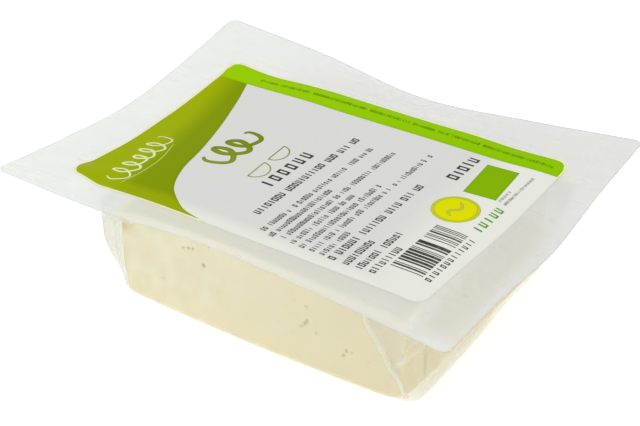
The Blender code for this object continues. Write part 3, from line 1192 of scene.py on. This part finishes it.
# The lime band's depth, and how much deeper it is, evenly spaced from one end to the other.
BAND_DEPTH = 8.1
BAND_WIDENING = (0.1, 0.7, 1.45, 1.45, 1.2, 1.1, 1.0, -0.4)
BAND_WIDENING_START = 10.0
BAND_WIDENING_LENGTH = 108.0

# The sweep between the olive field and the white panel, from the lime band to its tip on the front edge.
SWEEP = (
    (9.6, 74.0),
    (13.9, 61.5),
    (19.2, 46.5),
    (24.0, 31.5),
    (27.3, 18.5),
    (32.6, 8.2),
    (40.6, 2.4),
    (48.5, 0.45),
)
BLEED_LINE_START = 50

# The green panel: its front left corner, its length and depth, and how far its far edges are out of square.
PANEL_CORNER = (100.6, 51.9)
PANEL_LENGTH = 10
PANEL_DEPTH = 17
PANEL_LEAN = -1.55
PANEL_RISE = 0.7

DISC_CENTRE = (103.8, 42.4)
DISC_RADIUS = 5.9
DISC_RIM_RADIUS = 6.9
DISC_WAVE = ((104.4, 38.4), (102.6, 40.6), (105.0, 43.4), (103.2, 46.4))

# Rows of loops: from, to, half height, half width and number. Then the line under the pale ones, and each
# bowl's rim, from and to, and depth.
PALE_LOOPS = ((13.6, 5.2), (8.8, 33.5), 3.7, 2.0, 6)
HEADING_LOOPS = ((31.6, 27.6), (32.8, 45.6), 5.2, 2.8, 3)
UNDERLINE = ((17.0, 3.6), (17.8, 12.0), (17.0, 21.5), (13.6, 31.5))
BOWLS = (((45.6, 25.4), (45.0, 34.2), 4.2), ((44.8, 36.4), (44.2, 45.2), 3.8))
BOWL_LINE = 0.42


def ink_field(name, rows, material, layer=0):
    """A closed film of ink over rows of label places, on the paper or on as many layers of ink."""
    placed = [[on_label(*place) for place in row] for row in rows]
    lift = INK_CLEARANCE + layer * (INK_CLEARANCE + INK_THICKNESS)
    skin = sheet_skin(placed, lambda x, y: paper_top(x, y) + lift)
    thicken(finished_piece(name, skin, material), INK_THICKNESS, 1.0)


def smooth_path(points, step):
    """Evenly spaced points along a smooth curve through the given ones."""
    curve = []
    for i in range(len(points) - 1):
        p0 = Vector(points[max(i - 1, 0)])
        p1 = Vector(points[i])
        p2 = Vector(points[i + 1])
        p3 = Vector(points[min(i + 2, len(points) - 1)])
        count = max(2, math.ceil((p2 - p1).length / step))
        for k in range(count):
            t = k / count
            bend = (2 * p0 - 5 * p1 + 4 * p2 - p3) * t**2 + (3 * p1 - p0 - 3 * p2 + p3) * t**3
            curve.append(0.5 * (2 * p1 + (p2 - p0) * t + bend))
    curve.append(Vector(points[-1]))
    return curve


def stroke_rows(path, width, taper=0.0):
    """Rows across a stroke that follows a path; taper thins its ends by that share."""
    rows = []
    for i, point in enumerate(path):
        ahead = path[min(i + 1, len(path) - 1)]
        behind = path[max(i - 1, 0)]
        direction = (ahead - behind).normalized()
        side = Vector((direction.y, -direction.x))
        share = i / (len(path) - 1)
        half = 0.5 * width * (1.0 - taper * (2.0 * share - 1.0) ** 4)
        rows.append([tuple(point - side * half), tuple(point + side * half)])
    return rows


def corner_inset(past):
    """How far an edge must draw back to stay inside a round corner, past millimetres into the corner."""
    radius = CORNER_MM - BLEED
    past = min(max(past, 0.0), radius)
    return radius - math.sqrt(radius**2 - past**2)


def quarter_turn(centre_x, centre_y, radius, start):
    """Places clockwise round a quarter of a circle, from an angle in degrees."""
    angles = [math.radians(start - 90.0 * step / 8) for step in range(9)]
    return [Vector((centre_x + radius * math.cos(a), centre_y + radius * math.sin(a))) for a in angles]


def printed_ink(name, light, deep, direction, start, end, front=None):
    """Flexographic ink on coated paper: flat and satin, a touch deeper along one direction, finely mottled.

    The mottle is 0.8 mm wide, coarser than the real ink's, so that it shows. Where front is given, the ink is
    painted lighter towards the label's front edge, as a painted reflection where the label bends down there.
    """
    material, tree, shader, place = new_material(name)
    along = add_node(
        tree, "ShaderNodeVectorMath", {1: direction}, {0: place}, operation="DOT_PRODUCT"
    )
    share = add_node(
        tree,
        "ShaderNodeMapRange",
        {"From Min": start, "From Max": end},
        {"Value": along.outputs["Value"]},
        interpolation_type="SMOOTHSTEP",
    )
    if front is not None:
        across = add_node(tree, "ShaderNodeSeparateXYZ", links={0: place})
        kept = add_node(
            tree,
            "ShaderNodeMapRange",
            {"From Min": front[0], "From Max": front[1], "To Min": front[2], "To Max": 1.0},
            {"Value": across.outputs["Y"]},
            interpolation_type="SMOOTHSTEP",
        )
        share = add_node(
            tree, "ShaderNodeMath", links={0: share.outputs[0], 1: kept.outputs[0]}, operation="MULTIPLY"
        )
    mottle = add_node(tree, "ShaderNodeTexNoise", {"Scale": 1.0 / 0.8, "Detail": 3.0}, {"Vector": place})
    shift = add_node(
        tree,
        "ShaderNodeMapRange",
        {"From Min": 0.3, "From Max": 0.7, "To Min": -0.06, "To Max": 0.06},
        {"Value": mottle.outputs["Fac"]},
    )
    amount = add_node(
        tree,
        "ShaderNodeMath",
        links={0: share.outputs[0], 1: shift.outputs[0]},
        operation="ADD",
        use_clamp=True,
    )
    tone = add_node(
        tree,
        "ShaderNodeMix",
        {6: colour(light), 7: colour(deep)},
        {0: amount.outputs[0]},
        data_type="RGBA",
    )
    tree.links.new(tone.outputs[2], shader.inputs["Base Color"])
    satin = add_node(
        tree,
        "ShaderNodeMapRange",
        {"From Min": 0.3, "From Max": 0.7, "To Min": 0.36, "To Max": 0.48},
        {"Value": mottle.outputs["Fac"]},
    )
    tree.links.new(satin.outputs[0], shader.inputs["Roughness"])
    shader.inputs["Specular IOR Level"].default_value = 0.008
    return material


def make_lime_band():
    """The band along the label's back edge, deeper in its middle."""
    near_edge = LABEL_DEPTH_MM - BAND_DEPTH
    columns = math.ceil(LABEL_LENGTH_MM - 2.0 * BLEED)
    rows = []
    for i in range(columns + 1):
        along = blend(BLEED, LABEL_LENGTH_MM - BLEED, i / columns)
        past = max(CORNER_MM - along, along - (LABEL_LENGTH_MM - CORNER_MM))
        edge = LABEL_DEPTH_MM - BLEED - corner_inset(past)
        near = near_edge - rim_height(BAND_WIDENING, (along - BAND_WIDENING_START) / BAND_WIDENING_LENGTH)
        rows.append([(along, blend(edge, near, j / 6)) for j in range(7)])
    lime = printed_ink("lime_ink", "9ED600", "94CE00", (1.0, 0.0, 0.0), -60.0, 60.0)
    ink_field("lime_band", rows, lime)


def make_olive_field():
    """The field at the label's left, out to the sweep."""
    rows = []
    for point in smooth_path(SWEEP, 0.8):
        back = max(point.y, BLEED)
        start = BLEED + corner_inset(CORNER_MM - back)
        rows.append([(blend(start, point.x, j / 24), back) for j in range(25)])
    # The olive deepens inwards from the label's left edge, partly its print and partly painted shade where
    # the label dips, and is painted lighter towards the front edge as a painted reflection.
    olive = printed_ink("olive_ink", "A5B700", "889D00", (1.0, 0.2, 0.0), -54.0, -43.0, (-43.0, -38.5, 0.3))
    ink_field("olive_field", list(reversed(rows)), olive)


def make_bleed_line():
    """The pale line round the colours, from the front edge clockwise to the lime band's right end."""
    inset = 0.5 * (BLEED - PAPER_BORDER)
    left = inset
    right = LABEL_LENGTH_MM - 0.5 * BLEED
    front = inset
    back = LABEL_DEPTH_MM - inset
    radius = CORNER_MM - inset
    path = [Vector((along, front)) for along in range(BLEED_LINE_START, int(CORNER_MM), -1)]
    path += quarter_turn(left + radius, front + radius, radius, 270.0)
    path += [Vector((left, place)) for place in range(6, int(LABEL_DEPTH_MM - CORNER_MM))]
    path += quarter_turn(left + radius, back - radius, radius, 180.0)
    path += [Vector((along, back)) for along in range(6, int(LABEL_LENGTH_MM - CORNER_MM))]
    path += quarter_turn(right - radius, back - radius, radius, 90.0)
    path.append(Vector((right, LABEL_DEPTH_MM - BAND_DEPTH)))
    pale_edge = printed_ink("pale_bleed_ink", "FFFFC8", "FCFFB8", (1.0, 0.0, 0.0), -60.0, 60.0)
    ink_field("bleed_line", stroke_rows(path, BLEED + PAPER_BORDER - 0.1), pale_edge)


def make_green_panel():
    """The plain green panel near the right end."""
    start, front = PANEL_CORNER
    rows = []
    for j in range(PANEL_DEPTH + 1):
        left = start + PANEL_LEAN * j / PANEL_DEPTH
        columns = range(PANEL_LENGTH + 1)
        rows.append([(left + i, front + j + PANEL_RISE * i / PANEL_LENGTH) for i in columns])
    leaf = printed_ink("leaf_green_ink", "8EC000", "88BA00", (0.0, 1.0, 0.0), -20.0, 30.0)
    ink_field("green_panel", rows, leaf)


def make_disc():
    """The yellow disc, its darker rim, and a plain wave across it."""
    centre = Vector(DISC_CENTRE)
    half = Vector((DISC_RADIUS, DISC_RADIUS))
    yellow = printed_ink("yellow_ink", "E9E900", "E5E500", (0.0, 1.0, 0.0), -10.0, 10.0)
    ink_field("yellow_disc", rounded_sheet_rows(centre - half, centre + half, DISC_RADIUS, 0.8), yellow)
    rim = []
    for step in range(73):
        angle = math.radians(-360.0 * step / 72)
        outward = Vector((math.cos(angle), math.sin(angle)))
        rim.append([tuple(centre + outward * radius) for radius in (DISC_RADIUS, DISC_RIM_RADIUS)])
    rim_green = printed_ink("rim_green_ink", "CCD73D", "C6D038", (0.0, 1.0, 0.0), -10.0, 10.0)
    ink_field("disc_rim", rim, rim_green)
    ink_field("disc_stroke", stroke_rows(smooth_path(DISC_WAVE, 0.4), 1.1, 0.6), rim_green, 1)


def scribble(start, end, half_height, half_width, loops):
    """A plain hand-drawn row of loops between two places."""
    start = Vector(start)
    end = Vector(end)
    forward = (end - start).normalized()
    side = Vector((forward.y, -forward.x))
    points = []
    steps = loops * 28
    for step in range(steps + 1):
        share = step / steps
        phase = 2.0 * math.pi * (loops * share - 0.25)
        size = 0.82 + 0.18 * math.sin(1.7 * phase)
        loop = side * half_height * size * math.sin(phase) - forward * half_width * math.cos(phase)
        points.append(start.lerp(end, share) + loop)
    return points


def make_loops():
    """Brush strokes in place of drawn headings: pale loops on the olive, underlined, and green ones."""
    pale = printed_ink("pale_ink", "F6FAC4", "F0F6B4", (0.0, 1.0, 0.0), -50.0, 0.0)
    ink_field("pale_stroke", stroke_rows(scribble(*PALE_LOOPS), 0.85, 0.6), pale, 1)
    thin = printed_ink("thin_line_ink", "D6E070", "CCD860", (0.0, 1.0, 0.0), -50.0, 0.0)
    ink_field("thin_stroke", stroke_rows(smooth_path(UNDERLINE, 0.6), 0.4, 0.5), thin, 1)
    heading = printed_ink("heading_green_ink", "8E9E20", "7E901A", (0.0, 1.0, 0.0), -20.0, 2.0)
    ink_field("heading_stroke", stroke_rows(scribble(*HEADING_LOOPS), 1.9, 0.5), heading)


def make_bowls():
    """Two plain bowls in outline: a half round and its rim."""
    drawing = printed_ink("drawing_ink", "A8A866", "98985A", (0.0, 1.0, 0.0), -20.0, 2.0)
    for number, (rim_from, rim_to, depth) in enumerate(BOWLS):
        start = Vector(rim_from)
        end = Vector(rim_to)
        middle = start.lerp(end, 0.5)
        across = (end - start) * 0.5
        down = Vector((depth, 0.0))
        angles = [math.radians(degrees) for degrees in range(0, 181, 10)]
        hollow = [middle - across * math.cos(a) + down * math.sin(a) for a in angles]
        ink_field(f"bowl_{number + 1}", stroke_rows(hollow, BOWL_LINE), drawing)
        rim = [start.lerp(end, k / 12) for k in range(13)]
        ink_field(f"bowl_{number + 1}_rim", stroke_rows(rim, BOWL_LINE), drawing)


make_lime_band()
make_olive_field()
make_bleed_line()
make_green_panel()
make_disc()
make_loops()
make_bowls()

# ----------------------------------------------------------------------------------------------------------
# The small print, in dark ink. Rows of plain marks, in bars, open squares and squares, stand for lines of
# type, and a row of long bars for the price code. A node tree sets a mark on every step of each row, leaves
# gaps as between words, and lays it on the paper.
# ----------------------------------------------------------------------------------------------------------
# The kinds of mark, each a few strokes in a square of side 1: from and to up the mark, then across it.
MARK_KINDS = (
    ((0.0, 1.0, -0.17, 0.17),),
    ((0.0, 1.0, -0.5, -0.2), (0.0, 1.0, 0.2, 0.5), (0.8, 1.0, -0.2, 0.2)),
    ((0.0, 1.0, -0.5, -0.2), (0.0, 1.0, 0.2, 0.5), (0.8, 1.0, -0.2, 0.2), (0.0, 0.2, -0.2, 0.2)),
)
RAY_START = 0.1

# The sizes of type, in millimetres: the step between marks, the tallest, shortest, narrowest and widest mark,
# and last the share of steps that carry one.
SMALL_TYPE = (1.06, 1.9, 1.3, 0.6, 0.85, 0.86)
BOLD_TYPE = (1.62, 2.3, 2.2, 1.1, 1.4, 0.88)
LOWER_BOLD_TYPE = (1.62, 2.4, 2.2, 1.1, 1.4, 0.88)
HEADING_TYPE = (3.3, 3.9, 3.9, 2.0, 2.6, 1.0)
DATE_TYPE = (1.5, 2.3, 1.8, 0.95, 1.2, 0.95)
WEIGHT_TYPE = (2.9, 3.8, 3.2, 1.9, 2.3, 1.0)
BAR_TYPE = (0.36, 9.8, 9.8, 0.92, 0.92, 0.42)
FIGURE_TYPE = (1.75, 1.8, 1.7, 0.9, 1.2, 1.0)
FINE_TYPE = (0.7, 0.9, 0.7, 0.5, 0.65, 0.9)
BAND_TYPE = (0.95, 1.3, 0.9, 0.55, 0.75, 0.88)
WORD_TYPE = (2.4, 2.5, 2.5, 1.6, 1.9, 1.0)

# Rows of type up the label, each with its place along the label and where it starts and ends.
SMALL_ROWS = (
    (67.0, 3.9, 59.8),
    (70.4, 3.9, 31.4),
    (73.8, 3.9, 59.2),
    (77.1, 3.9, 32.6),
    (80.4, 3.9, 41.2),
    (83.6, 3.9, 63.8),
    (86.8, 3.9, 15.8),
)
DATE_ROWS = ((94.6, 3.8, 15.6), (98.6, 3.9, 23.2), (102.4, 4.3, 16.8))
FINE_ROWS = ((112.0, 53.2, 58.8), (113.9, 52.7, 69.1))


def marks_tree():
    """Rows of edges in, rows of thin ink marks out, laid on the paper."""
    tree = bpy.data.node_groups.new("rows_of_printed_marks", "GeometryNodeTree")
    sockets = (
        ("Rows", "NodeSocketGeometry"),
        ("Mark pitch", "NodeSocketFloat"),
        ("Mark height", "NodeSocketFloat"),
        ("Least height", "NodeSocketFloat"),
        ("Narrowest", "NodeSocketFloat"),
        ("Widest", "NodeSocketFloat"),
        ("Share kept", "NodeSocketFloat"),
        ("Kinds", "NodeSocketInt"),
        ("Ink thickness", "NodeSocketFloat"),
        ("Clearance", "NodeSocketFloat"),
        ("Seed", "NodeSocketInt"),
        ("Paper", "NodeSocketObject"),
        ("Ink", "NodeSocketMaterial"),
    )
    for name, kind in sockets:
        tree.interface.new_socket(name=name, in_out="INPUT", socket_type=kind)
    tree.interface.new_socket(name="Print", in_out="OUTPUT", socket_type="NodeSocketGeometry")
    given = add_node(tree, "NodeGroupInput").outputs
    rows = add_node(tree, "GeometryNodeMeshToCurve", links={"Mesh": given["Rows"]})
    steps = add_node(
        tree,
        "GeometryNodeResampleCurve",
        links={"Curve": rows.outputs[0], "Length": given["Mark pitch"]},
        mode="LENGTH",
    )
    kinds = []
    for strokes in MARK_KINDS:
        parts = add_node(tree, "GeometryNodeJoinGeometry")
        for low, high, side_low, side_high in strokes:
            stroke = add_node(
                tree,
                "GeometryNodeMeshCube",
                {"Size": (high - low, side_high - side_low, 1.0), "Vertices X": 2 + int(3.0 * (high - low))},
            )
            middle = (0.5 * (low + high) - 1.0, 0.5 * (side_low + side_high), 0.5)
            moved = add_node(
                tree, "GeometryNodeTransform", {"Translation": middle}, {"Geometry": stroke.outputs["Mesh"]}
            )
            tree.links.new(moved.outputs[0], parts.inputs[0])
        kinds.append(add_node(tree, "GeometryNodeGeometryToInstance", links={0: parts.outputs[0]}))
    choice = add_node(tree, "GeometryNodeJoinGeometry")
    for kind in reversed(kinds):
        tree.links.new(kind.outputs[0], choice.inputs[0])
    kept = add_node(
        tree,
        "FunctionNodeRandomValue",
        links={"Probability": given["Share kept"], "Seed": given["Seed"]},
        data_type="BOOLEAN",
    )
    height_seed = add_node(tree, "ShaderNodeMath", {1: 11.0}, {0: given["Seed"]}, operation="ADD")
    height = add_node(
        tree,
        "FunctionNodeRandomValue",
        links={2: given["Least height"], 3: given["Mark height"], "Seed": height_seed.outputs[0]},
        data_type="FLOAT",
    )
    width_seed = add_node(tree, "ShaderNodeMath", {1: 23.0}, {0: given["Seed"]}, operation="ADD")
    width = add_node(
        tree,
        "FunctionNodeRandomValue",
        links={2: given["Narrowest"], 3: given["Widest"], "Seed": width_seed.outputs[0]},
        data_type="FLOAT",
    )
    last_kind = add_node(tree, "ShaderNodeMath", {1: 1.0}, {0: given["Kinds"]}, operation="SUBTRACT")
    kind_seed = add_node(tree, "ShaderNodeMath", {1: 37.0}, {0: given["Seed"]}, operation="ADD")
    picked = add_node(
        tree,
        "FunctionNodeRandomValue",
        {4: 0},
        {5: last_kind.outputs[0], "Seed": kind_seed.outputs[0]},
        data_type="INT",
    )
    size = add_node(
        tree,
        "ShaderNodeCombineXYZ",
        links={0: height.outputs[1], 1: width.outputs[1], 2: given["Ink thickness"]},
    )
    way = add_node(tree, "GeometryNodeInputTangent")
    turned = add_node(
        tree, "FunctionNodeAlignRotationToVector", links={"Vector": way.outputs[0]}, axis="Y", pivot_axis="Z"
    )
    placed = add_node(
        tree,
        "GeometryNodeInstanceOnPoints",
        {"Pick Instance": True},
        {
            "Points": steps.outputs[0],
            "Selection": kept.outputs[3],
            "Instance": choice.outputs[0],
            "Instance Index": picked.outputs[2],
            "Rotation": turned.outputs[0],
            "Scale": size.outputs[0],
        },
    )
    real = add_node(tree, "GeometryNodeRealizeInstances", links={"Geometry": placed.outputs[0]})
    paper = add_node(
        tree, "GeometryNodeObjectInfo", links={"Object": given["Paper"]}, transform_space="RELATIVE"
    )
    here = add_node(tree, "GeometryNodeInputPosition")
    above = add_node(
        tree, "ShaderNodeVectorMath", {1: (0.0, 0.0, RAY_START)}, {0: here.outputs[0]}, operation="ADD"
    )
    cast = add_node(
        tree,
        "GeometryNodeRaycast",
        {"Ray Direction": (0.0, 0.0, -1.0), "Ray Length": 2.0 * RAY_START},
        {"Target Geometry": paper.outputs["Geometry"], "Source Position": above.outputs[0]},
    )
    landing = add_node(tree, "ShaderNodeSeparateXYZ", links={0: cast.outputs["Hit Position"]})
    own = add_node(tree, "ShaderNodeSeparateXYZ", links={0: here.outputs[0]})
    raised = add_node(
        tree, "ShaderNodeMath", links={0: landing.outputs["Z"], 1: given["Clearance"]}, operation="ADD"
    )
    top = add_node(tree, "ShaderNodeMath", links={0: raised.outputs[0], 1: own.outputs["Z"]}, operation="ADD")
    on_paper = add_node(
        tree, "ShaderNodeCombineXYZ", links={0: own.outputs["X"], 1: own.outputs["Y"], 2: top.outputs[0]}
    )
    laid = add_node(
        tree,
        "GeometryNodeSetPosition",
        links={"Geometry": real.outputs[0], "Position": on_paper.outputs[0]},
    )
    inked = add_node(
        tree, "GeometryNodeSetMaterial", links={"Geometry": laid.outputs[0], "Material": given["Ink"]}
    )
    add_node(tree, "NodeGroupOutput", links={0: inked.outputs[0]})
    return tree


def upright(rows):
    """The two ends of each row that runs up the label, from its place along it and its start and end."""
    return [((along, start), (along, end)) for along, start, end in rows]


def print_rows(name, rows, ink, size, seed, kinds=len(MARK_KINDS), under=0):
    """Lay rows of marks, each from one label place to another and on layers of ink, as one plain piece."""
    pitch, tallest, shortest, narrowest, widest, kept = size
    mesh = bpy.data.meshes.new(name)
    ends = [Vector((*on_label(*place), 0.0)) for row in rows for place in row]
    mesh.from_pydata(ends, [(2 * i, 2 * i + 1) for i in range(len(rows))], [])
    source = bpy.data.objects.new(name + "_rows", mesh)
    bpy.context.scene.collection.objects.link(source)
    layer = source.modifiers.new("Print", "NODES")
    layer.node_group = printed_marks
    values = {
        "Mark pitch": pitch * MM,
        "Mark height": tallest * MM,
        "Least height": shortest * MM,
        "Narrowest": narrowest * MM,
        "Widest": widest * MM,
        "Share kept": kept,
        "Kinds": kinds,
        "Ink thickness": INK_THICKNESS,
        "Clearance": INK_CLEARANCE + under * (INK_CLEARANCE + INK_THICKNESS),
        "Seed": seed,
        "Paper": paper_label,
        "Ink": ink,
    }
    for item in printed_marks.interface.items_tree:
        if item.in_out == "INPUT" and item.name in values:
            layer[item.identifier] = values[item.name]
    source.update_tag()
    graph = bpy.context.evaluated_depsgraph_get()
    graph.update()
    printed = bpy.data.meshes.new_from_object(source.evaluated_get(graph))
    printed.name = name
    bpy.data.objects.remove(source)
    piece = bpy.data.objects.new(name, printed)
    bpy.context.scene.collection.objects.link(piece)
    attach(piece, "root")


printed_marks = marks_tree()
dark = printed_ink("dark_grey_ink", "3E3E3C", "464644", (1.0, 0.0, 0.0), -20.0, 60.0)
grey = printed_ink("grey_ink", "8A8A88", "929290", (1.0, 0.0, 0.0), -20.0, 60.0)
deep_lime = printed_ink("deep_lime_ink", "5E8A0A", "5E8A0A", (1.0, 0.0, 0.0), -60.0, 60.0)
word_green = printed_ink("word_green_ink", "4FA020", "58A828", (0.0, 1.0, 0.0), -10.0, 5.0)

print_rows("small_print", upright(SMALL_ROWS), dark, SMALL_TYPE, seed=3)
print_rows("bold_print", upright([(60.7, 11.0, 60.0)]), dark, BOLD_TYPE, seed=5)
print_rows("lower_bold_print", upright([(90.4, 3.8, 47.4)]), dark, LOWER_BOLD_TYPE, seed=6)
print_rows("heading_print", upright([(54.8, 24.9, 44.3)]), dark, HEADING_TYPE, seed=8)
print_rows("date_print", upright(DATE_ROWS), dark, DATE_TYPE, seed=13)
print_rows("weight_print", upright([(96.2, 57.2, 68.8)]), dark, WEIGHT_TYPE, seed=2)
print_rows("code_bars", upright([(113.3, 8.7, 32.5)]), dark, BAR_TYPE, seed=21, kinds=1)
print_rows("code_figures", upright([(115.9, 9.2, 31.7)]), dark, FIGURE_TYPE, seed=6)
print_rows("fine_print", upright(FINE_ROWS), grey, FINE_TYPE, seed=4)
print_rows("band_print", [((12.5, 77.2), (115.0, 77.2))], deep_lime, BAND_TYPE, seed=9, under=1)
print_rows("green_print", upright([(114.9, 37.4, 49.0)]), word_green, WORD_TYPE, seed=14)

# ----------------------------------------------------------------------------------------------------------
# The studio: a pale floor under even, soft daylight from all round, with one large soft lamp high at the
# back left and a weaker one at the front right, and the camera.
# ----------------------------------------------------------------------------------------------------------
FLOOR_SIZE = 6.0


def make_floor():
    """A matt white board to stand the pack on, which glows a little so that its far parts stay white."""
    skin = bmesh.new()
    bmesh.ops.create_grid(skin, x_segments=2, y_segments=2, size=0.5 * FLOOR_SIZE)
    mesh = bpy.data.meshes.new("floor")
    skin.to_mesh(mesh)
    skin.free()
    material = bpy.data.materials.new("matt_white_board")
    material.use_nodes = True
    shader = material.node_tree.nodes["Principled BSDF"]
    shader.inputs["Base Color"].default_value = colour("FAFAFA")
    shader.inputs["Roughness"].default_value = 0.9
    shader.inputs["Specular IOR Level"].default_value = 0.1
    shader.inputs["Emission Color"].default_value = (1.0, 1.0, 1.0, 1.0)
    shader.inputs["Emission Strength"].default_value = 0.45
    mesh.materials.append(material)
    floor = bpy.data.objects.new("floor", mesh)
    bpy.context.scene.collection.objects.link(floor)


def add_lamp(name, place, aim, size, power):
    """A square soft lamp that faces a point."""
    lamp = bpy.data.lights.new(name, "AREA")
    lamp.shape = "SQUARE"
    lamp.size = size
    lamp.energy = power
    holder = bpy.data.objects.new(name, lamp)
    holder.location = place
    holder.rotation_euler = (Vector(aim) - Vector(place)).to_track_quat("-Z", "Y").to_euler()
    bpy.context.scene.collection.objects.link(holder)


make_floor()
sky = bpy.data.worlds.new("even_daylight")
sky.use_nodes = True
sky.node_tree.nodes["Background"].inputs["Color"].default_value = (1.0, 1.0, 1.0, 1.0)
sky.node_tree.nodes["Background"].inputs["Strength"].default_value = 0.78
bpy.context.scene.world = sky
add_lamp("high_back_lamp", (-0.30, 0.15, 0.95), (0.0, 0.0, 0.02), 0.5, 1.0)
add_lamp("front_lamp", (0.55, -0.75, 0.45), (0.0, 0.0, 0.02), 0.5, 0.6)

CAMERA_TARGET = Vector((8.885 * MM, -13.965 * MM, 20.0 * MM))
CAMERA_DISTANCE = 436.19 * MM
CAMERA_AZIMUTH = math.radians(34.575)
CAMERA_ELEVATION = math.radians(31.577)
CAMERA_ROLL = math.radians(-0.379)

camera_data = bpy.data.cameras.new("camera")
camera_data.lens = 86.68
camera_data.sensor_width = 36.0
camera_data.clip_start = 0.01
camera = bpy.data.objects.new("camera", camera_data)
backwards = Vector(
    (
        math.sin(CAMERA_AZIMUTH) * math.cos(CAMERA_ELEVATION),
        -math.cos(CAMERA_AZIMUTH) * math.cos(CAMERA_ELEVATION),
        math.sin(CAMERA_ELEVATION),
    )
)
level_right = Vector((math.cos(CAMERA_AZIMUTH), math.sin(CAMERA_AZIMUTH), 0.0))
level_up = backwards.cross(level_right)
right = level_right * math.cos(CAMERA_ROLL) + level_up * math.sin(CAMERA_ROLL)
up = level_up * math.cos(CAMERA_ROLL) - level_right * math.sin(CAMERA_ROLL)
camera.matrix_world = Matrix.Translation(CAMERA_TARGET + backwards * CAMERA_DISTANCE) @ Matrix(
    (right, up, backwards)
).transposed().to_4x4()
bpy.context.scene.collection.objects.link(camera)
bpy.context.scene.camera = camera
bpy.context.scene.view_settings.view_transform = "Standard"
